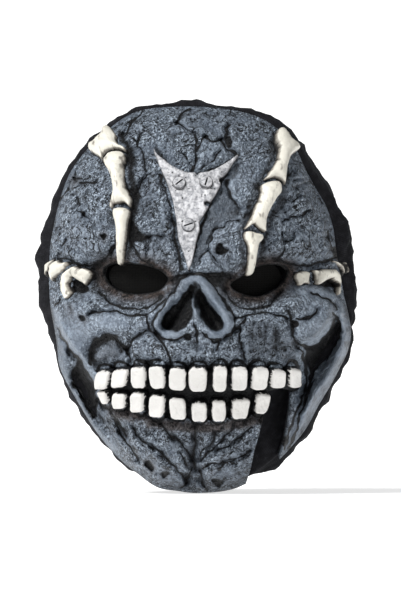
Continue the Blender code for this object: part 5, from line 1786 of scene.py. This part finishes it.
@dataclass
class Hood:
    """The black stretch hood that lines the face and goes round the head, open at the neck."""

    columns: int = 240
    rows: int = 132
    wall: float = 0.0014
    wave: float = 0.0009
    fold: float = 0.0016
    scallop: float = 0.0013
    hem: float = 0.011
    bands: tuple = ((0, 0.7), (8, 0.92), (16, 0.95), (24, 0.8), (32, 0.62), (45, 0.62), (52, 0.55),
        (60, 0.42), (68, 0.28), (76, 0.16), (90, 0.26), (104, 0.22), (112, 0.26), (120, 0.3), (128, 0.34),
        (138, 0.36), (150, 0.36), (158, 0.5), (165, 0.66), (176, 0.62), (184, 0.62), (192, 0.48), (200, 0.25),
        (210, 0.1), (218, 0.14), (226, 0.22), (235, 0.16), (242, 0.1), (255, 0.1), (265, 0.04), (278, 0.04),
        (286, 0.1), (300, 0.16), (308, 0.22), (316, 0.27), (330, 0.27), (338, 0.15), (345, 0.05), (352, 0.2))

    def surface(self, angle: Array, polar: Array) -> Array:
        """Places points on the hood.

        Args:
            angle: angles round the face, in radians.
            polar: from 0 at the middle of the face, over 1 at its rim, to 2 at the middle of the back.

        Returns:
            The points.
        """
        front = np.clip(polar, 0, 1)
        rho = front * (1.15 - 0.15 * front**2)
        reach = FORM.reach(angle)
        skin = FORM.lining(MIDDLE[0] + rho * reach * np.cos(angle), MIDDLE[1] + rho * reach * np.sin(angle))
        rim, _ = FORM.dome(MIDDLE[0] + reach * np.cos(angle), MIDDLE[1] + reach * np.sin(angle))
        outward = np.stack([np.cos(angle), np.zeros_like(angle), np.sin(angle)], axis=1)
        back = np.clip(polar - 1, 0, 1)
        depth = HOOD_DEPTH * np.sin(0.5 * math.pi * back)
        level = (1 - np.sin(0.5 * math.pi * back) ** BACK_ROUNDNESS) ** (1 / BACK_ROUNDNESS)
        flare = smooth_step(0, HOOD_FLARE, depth)
        degrees, shares = np.array(self.bands, float).T
        band = HOOD_BAND * np.interp(np.degrees(angle) % 360, degrees, shares, period=360)
        run = reach * angle
        fade = smooth_step(0.001, 0.008, depth) * smooth_step(0.075, 0.02, depth)
        strength = 0.55 + 0.45 * np.cos(angle - 0.25)
        ring_x, ring_y = 120 * np.cos(angle), 120 * np.sin(angle)
        wave = self.wave * lumps(ring_x + 9 * np.sin(depth * 90), ring_y, 26.0, 911, 2)
        wave += self.scallop * lumps(ring_x, ring_y, 8.5, 917, 2)
        folds = lumps(run / 5.5 + 40, depth * 1000 + 2.2 * lumps(ring_x, ring_y, 22.0, 915, 2), 5.0, 913, 2)
        past = -(WALL + HOOD_GAP) * (1 - flare) + flare * band + fade * (wave + self.fold * strength * folds)
        middle = np.array([MIDDLE[0] * UNIT, 0, MIDDLE[1] * UNIT]) - ORIGIN
        behind = middle + (rim + outward * past[:, None] - middle) * level[:, None]
        seam = np.abs(behind[:, 0] - middle[0])
        behind[:, 1] = depth - ORIGIN[1]
        dent = 0.0009 * np.exp(-((seam / 0.0011) ** 2)) - 0.0004 * np.exp(-(((seam - 0.0032) / 0.0013) ** 2))
        inwards = middle + [0, 0.4 * HOOD_DEPTH, 0] - behind
        inwards /= np.linalg.norm(inwards, axis=1, keepdims=True)
        behind += inwards * (dent * smooth_step(0.02, 0.045, depth))[:, None]
        return np.where((polar <= 1)[:, None], skin, behind)

    def build(self) -> Piece:
        """Models and dresses the hood.

        Returns:
            The finished piece.
        """
        hood, order = ordered_grid("stretch_hood", self.columns, self.rows)
        grid = (points_of(hood)[order, :2] + 1) / 2
        shape = (self.rows + 1, self.columns + 1)
        angle = 2 * math.pi * grid[:, 0] - 0.5 * math.pi
        polar = np.interp(grid[:, 1], [0, 0.30, 0.68, 1], [0, 1, 1.26, 2])
        points = self.surface(angle, polar)
        front = (polar < 1).reshape(shape)
        u, v = ((points[:, k] + ORIGIN[k]).reshape(shape) / UNIT for k in (0, 2))
        drop = np.zeros(shape, bool)
        for outline in EYE_OUTLINES.values():
            course = smooth_line(on_sheet(outline), 120, closed=True)
            middle = course.mean(axis=0)
            drop |= inside(u, v, middle + (course - middle) * 1.10) & front
        back = np.argsort(order)
        set_points(hood, points[back])
        along = np.interp(polar, [0, 1, 2], [0, 0.115, 0.115 + 1.25 * HOOD_DEPTH])
        set_uv(hood, np.stack([angle * 0.095, along], axis=1)[back])
        delete_where(hood, drop.ravel()[back])
        pick(hood)
        bpy.ops.object.mode_set(mode="EDIT")
        bpy.ops.mesh.select_all(action="SELECT")
        bpy.ops.mesh.remove_doubles(threshold=1e-6)
        bpy.ops.mesh.select_all(action="SELECT")
        bpy.ops.mesh.normals_make_consistent(inside=False)
        bpy.ops.mesh.select_all(action="SELECT")
        neck = np.array([0, 0, NECK_FRONT]) - ORIGIN
        bpy.ops.mesh.bisect(plane_co=tuple(neck), plane_no=(0, NECK_RISE, -1), clear_outer=True)
        bpy.ops.object.mode_set(mode="OBJECT")
        points = points_of(hood)
        over = ((points - neck) @ np.array([0, -NECK_RISE, 1])) / math.hypot(1, NECK_RISE)
        set_attribute(hood, "hem", over)
        centre = points.mean(axis=0)
        outward = points - centre
        outward[:, 2] = 0
        outward /= np.maximum(np.linalg.norm(outward, axis=1, keepdims=True), 1e-9)
        lift = 0.0005 * smooth_step(self.hem + 0.0008, self.hem - 0.0004, over) - 0.0005 * np.exp(
            -(((over - self.hem) / 0.0009) ** 2))
        behind_rim = smooth_step(-0.022, -0.010, points[:, 1])
        set_points(hood, points + outward * (lift * behind_rim)[:, None])
        thicken(hood, self.wall)
        smooth(hood)
        dress(hood, HoodCloth().build(), ["hood"])
        return hood


@dataclass
class EyePanels:
    """The two see-through panels of fine net behind the eye holes."""

    margin: float = 0.0030
    thickness: float = 0.0005
    ellipses: tuple = (("left", -65, 220, 32, 14.5, -8), ("right", 61, 220, 29, 15, 10))

    def build(self) -> list[Piece]:
        """Models and dresses the panels.

        Returns:
            The finished pieces.
        """
        net = EyeNet().build()
        pieces = []
        for side, across, up, half_wide, half_tall, turn in self.ellipses:
            panel = new_grid(f"eye_net_{side}", 44, 28)
            a, b, _ = points_of(panel).T
            du = a * np.sqrt(1 - b**2 / 2) * (half_wide + self.margin / UNIT)
            dv = b * np.sqrt(1 - a**2 / 2) * (half_tall + self.margin / UNIT)
            c, s = math.cos(math.radians(turn)), math.sin(math.radians(turn))
            u, v = across + du * c - dv * s, up + du * s + dv * c
            points, normals = FORM.dome(u, v)
            lowest = np.quantile(FORM.broad(u, v) * FORM.fade(u, v), 0.09) - WALL - 0.0012
            set_points(panel, points + normals * (lowest - 0.0006 * (1 - a**2) * (1 - b**2))[:, None])
            set_uv(panel, np.stack([u, v], axis=1) * UNIT)
            thicken(panel, self.thickness)
            smooth(panel)
            dress(panel, net, [f"eye_mesh_{side}"])
            pieces.append(panel)
        return pieces


# The studio


@dataclass
class Studio:
    """The floor, the light and the camera."""

    field_height: float = 601 * UNIT
    camera_far: float = 6.0
    aim: tuple = (0.0025, -0.05, -0.1217)
    floor_level: float = -0.2428
    floor_size: float = 60.0
    sun_strength: float = 4.3
    ambient: float = 0.09
    backdrop: float = 1.3
    key_angle: float = 32.0
    key_from: tuple = (-0.85, -0.70, 1.26)
    fill_share: float = 0.06
    fill_angle: float = 60.0
    fill_from: tuple = (1.0, -0.8, 0.5)
    sensor: float = 36.0

    def build(self) -> None:
        """Sets up the studio."""
        self.floor()
        self.world()
        self.lights()
        self.camera()

    def floor(self) -> None:
        """Adds the floor."""
        deselect_all()
        bpy.ops.mesh.primitive_plane_add(size=self.floor_size, location=(0, 0, self.floor_level))
        floor = bpy.context.object
        floor.name = "floor"
        floor.data.materials.append(FloorPaint().build())

    def world(self) -> None:
        """Makes the surroundings white to look at, and a soft grey as a light."""
        world = bpy.data.worlds.new("studio")
        bpy.context.scene.world = world
        world.use_nodes = True
        tree = world.node_tree
        tree.nodes.clear()
        seen, light = (tree.nodes.new("ShaderNodeBackground") for _ in range(2))
        seen.inputs["Strength"].default_value = self.backdrop
        light.inputs["Color"].default_value = (0.95, 0.98, 1.0, 1)
        light.inputs["Strength"].default_value = self.ambient
        path, mix, output = (tree.nodes.new(kind) for kind in (
            "ShaderNodeLightPath", "ShaderNodeMixShader", "ShaderNodeOutputWorld"))
        seen.inputs["Color"].default_value = (1, 1, 1, 1)
        tree.links.new(path.outputs["Is Camera Ray"], mix.inputs[0])
        tree.links.new(light.outputs[0], mix.inputs[1])
        tree.links.new(seen.outputs[0], mix.inputs[2])
        tree.links.new(mix.outputs[0], output.inputs["Surface"])

    def lights(self) -> None:
        """Adds the soft key light from the upper left, and a weak one from the right."""
        for name, strength, angle, away in (
            ("key_light", self.sun_strength, self.key_angle, self.key_from),
            ("fill_light", self.fill_share * self.sun_strength, self.fill_angle, self.fill_from),
        ):
            data = bpy.data.lights.new(name, "SUN")
            data.energy = strength
            data.angle = math.radians(angle)
            light = bpy.data.objects.new(name, data)
            bpy.context.scene.collection.objects.link(light)
            length = math.sqrt(sum(x * x for x in away))
            light.rotation_euler = (
                math.acos(away[2] / length), 0, math.atan2(away[1], away[0]) + 0.5 * math.pi)

    def camera(self) -> None:
        """Adds the camera, straight in front of the face."""
        data = bpy.data.cameras.new("camera")
        camera = bpy.data.objects.new("camera", data)
        bpy.context.scene.collection.objects.link(camera)
        data.sensor_fit = "VERTICAL"
        data.sensor_width = self.sensor
        data.sensor_height = self.sensor
        data.lens = self.sensor * self.camera_far / self.field_height
        data.clip_start, data.clip_end = 0.1, 200
        camera.location = (self.aim[0], self.aim[1] - self.camera_far, self.aim[2])
        camera.rotation_euler = (0.5 * math.pi, 0, 0)
        scene = bpy.context.scene
        scene.camera = camera
        scene.view_settings.view_transform = "Standard"
        scene.view_settings.look = "None"


def main() -> None:
    """Builds the sub-assemblies in order."""
    logging.basicConfig(level=logging.INFO, format="%(name)s: %(message)s")
    CastFace().build()
    Hood().build()
    EyePanels().build()
    Teeth().build()
    FingerBones().build()
    ForeheadPlate().build()
    Studio().build()


if __name__ == "__main__":
    main()
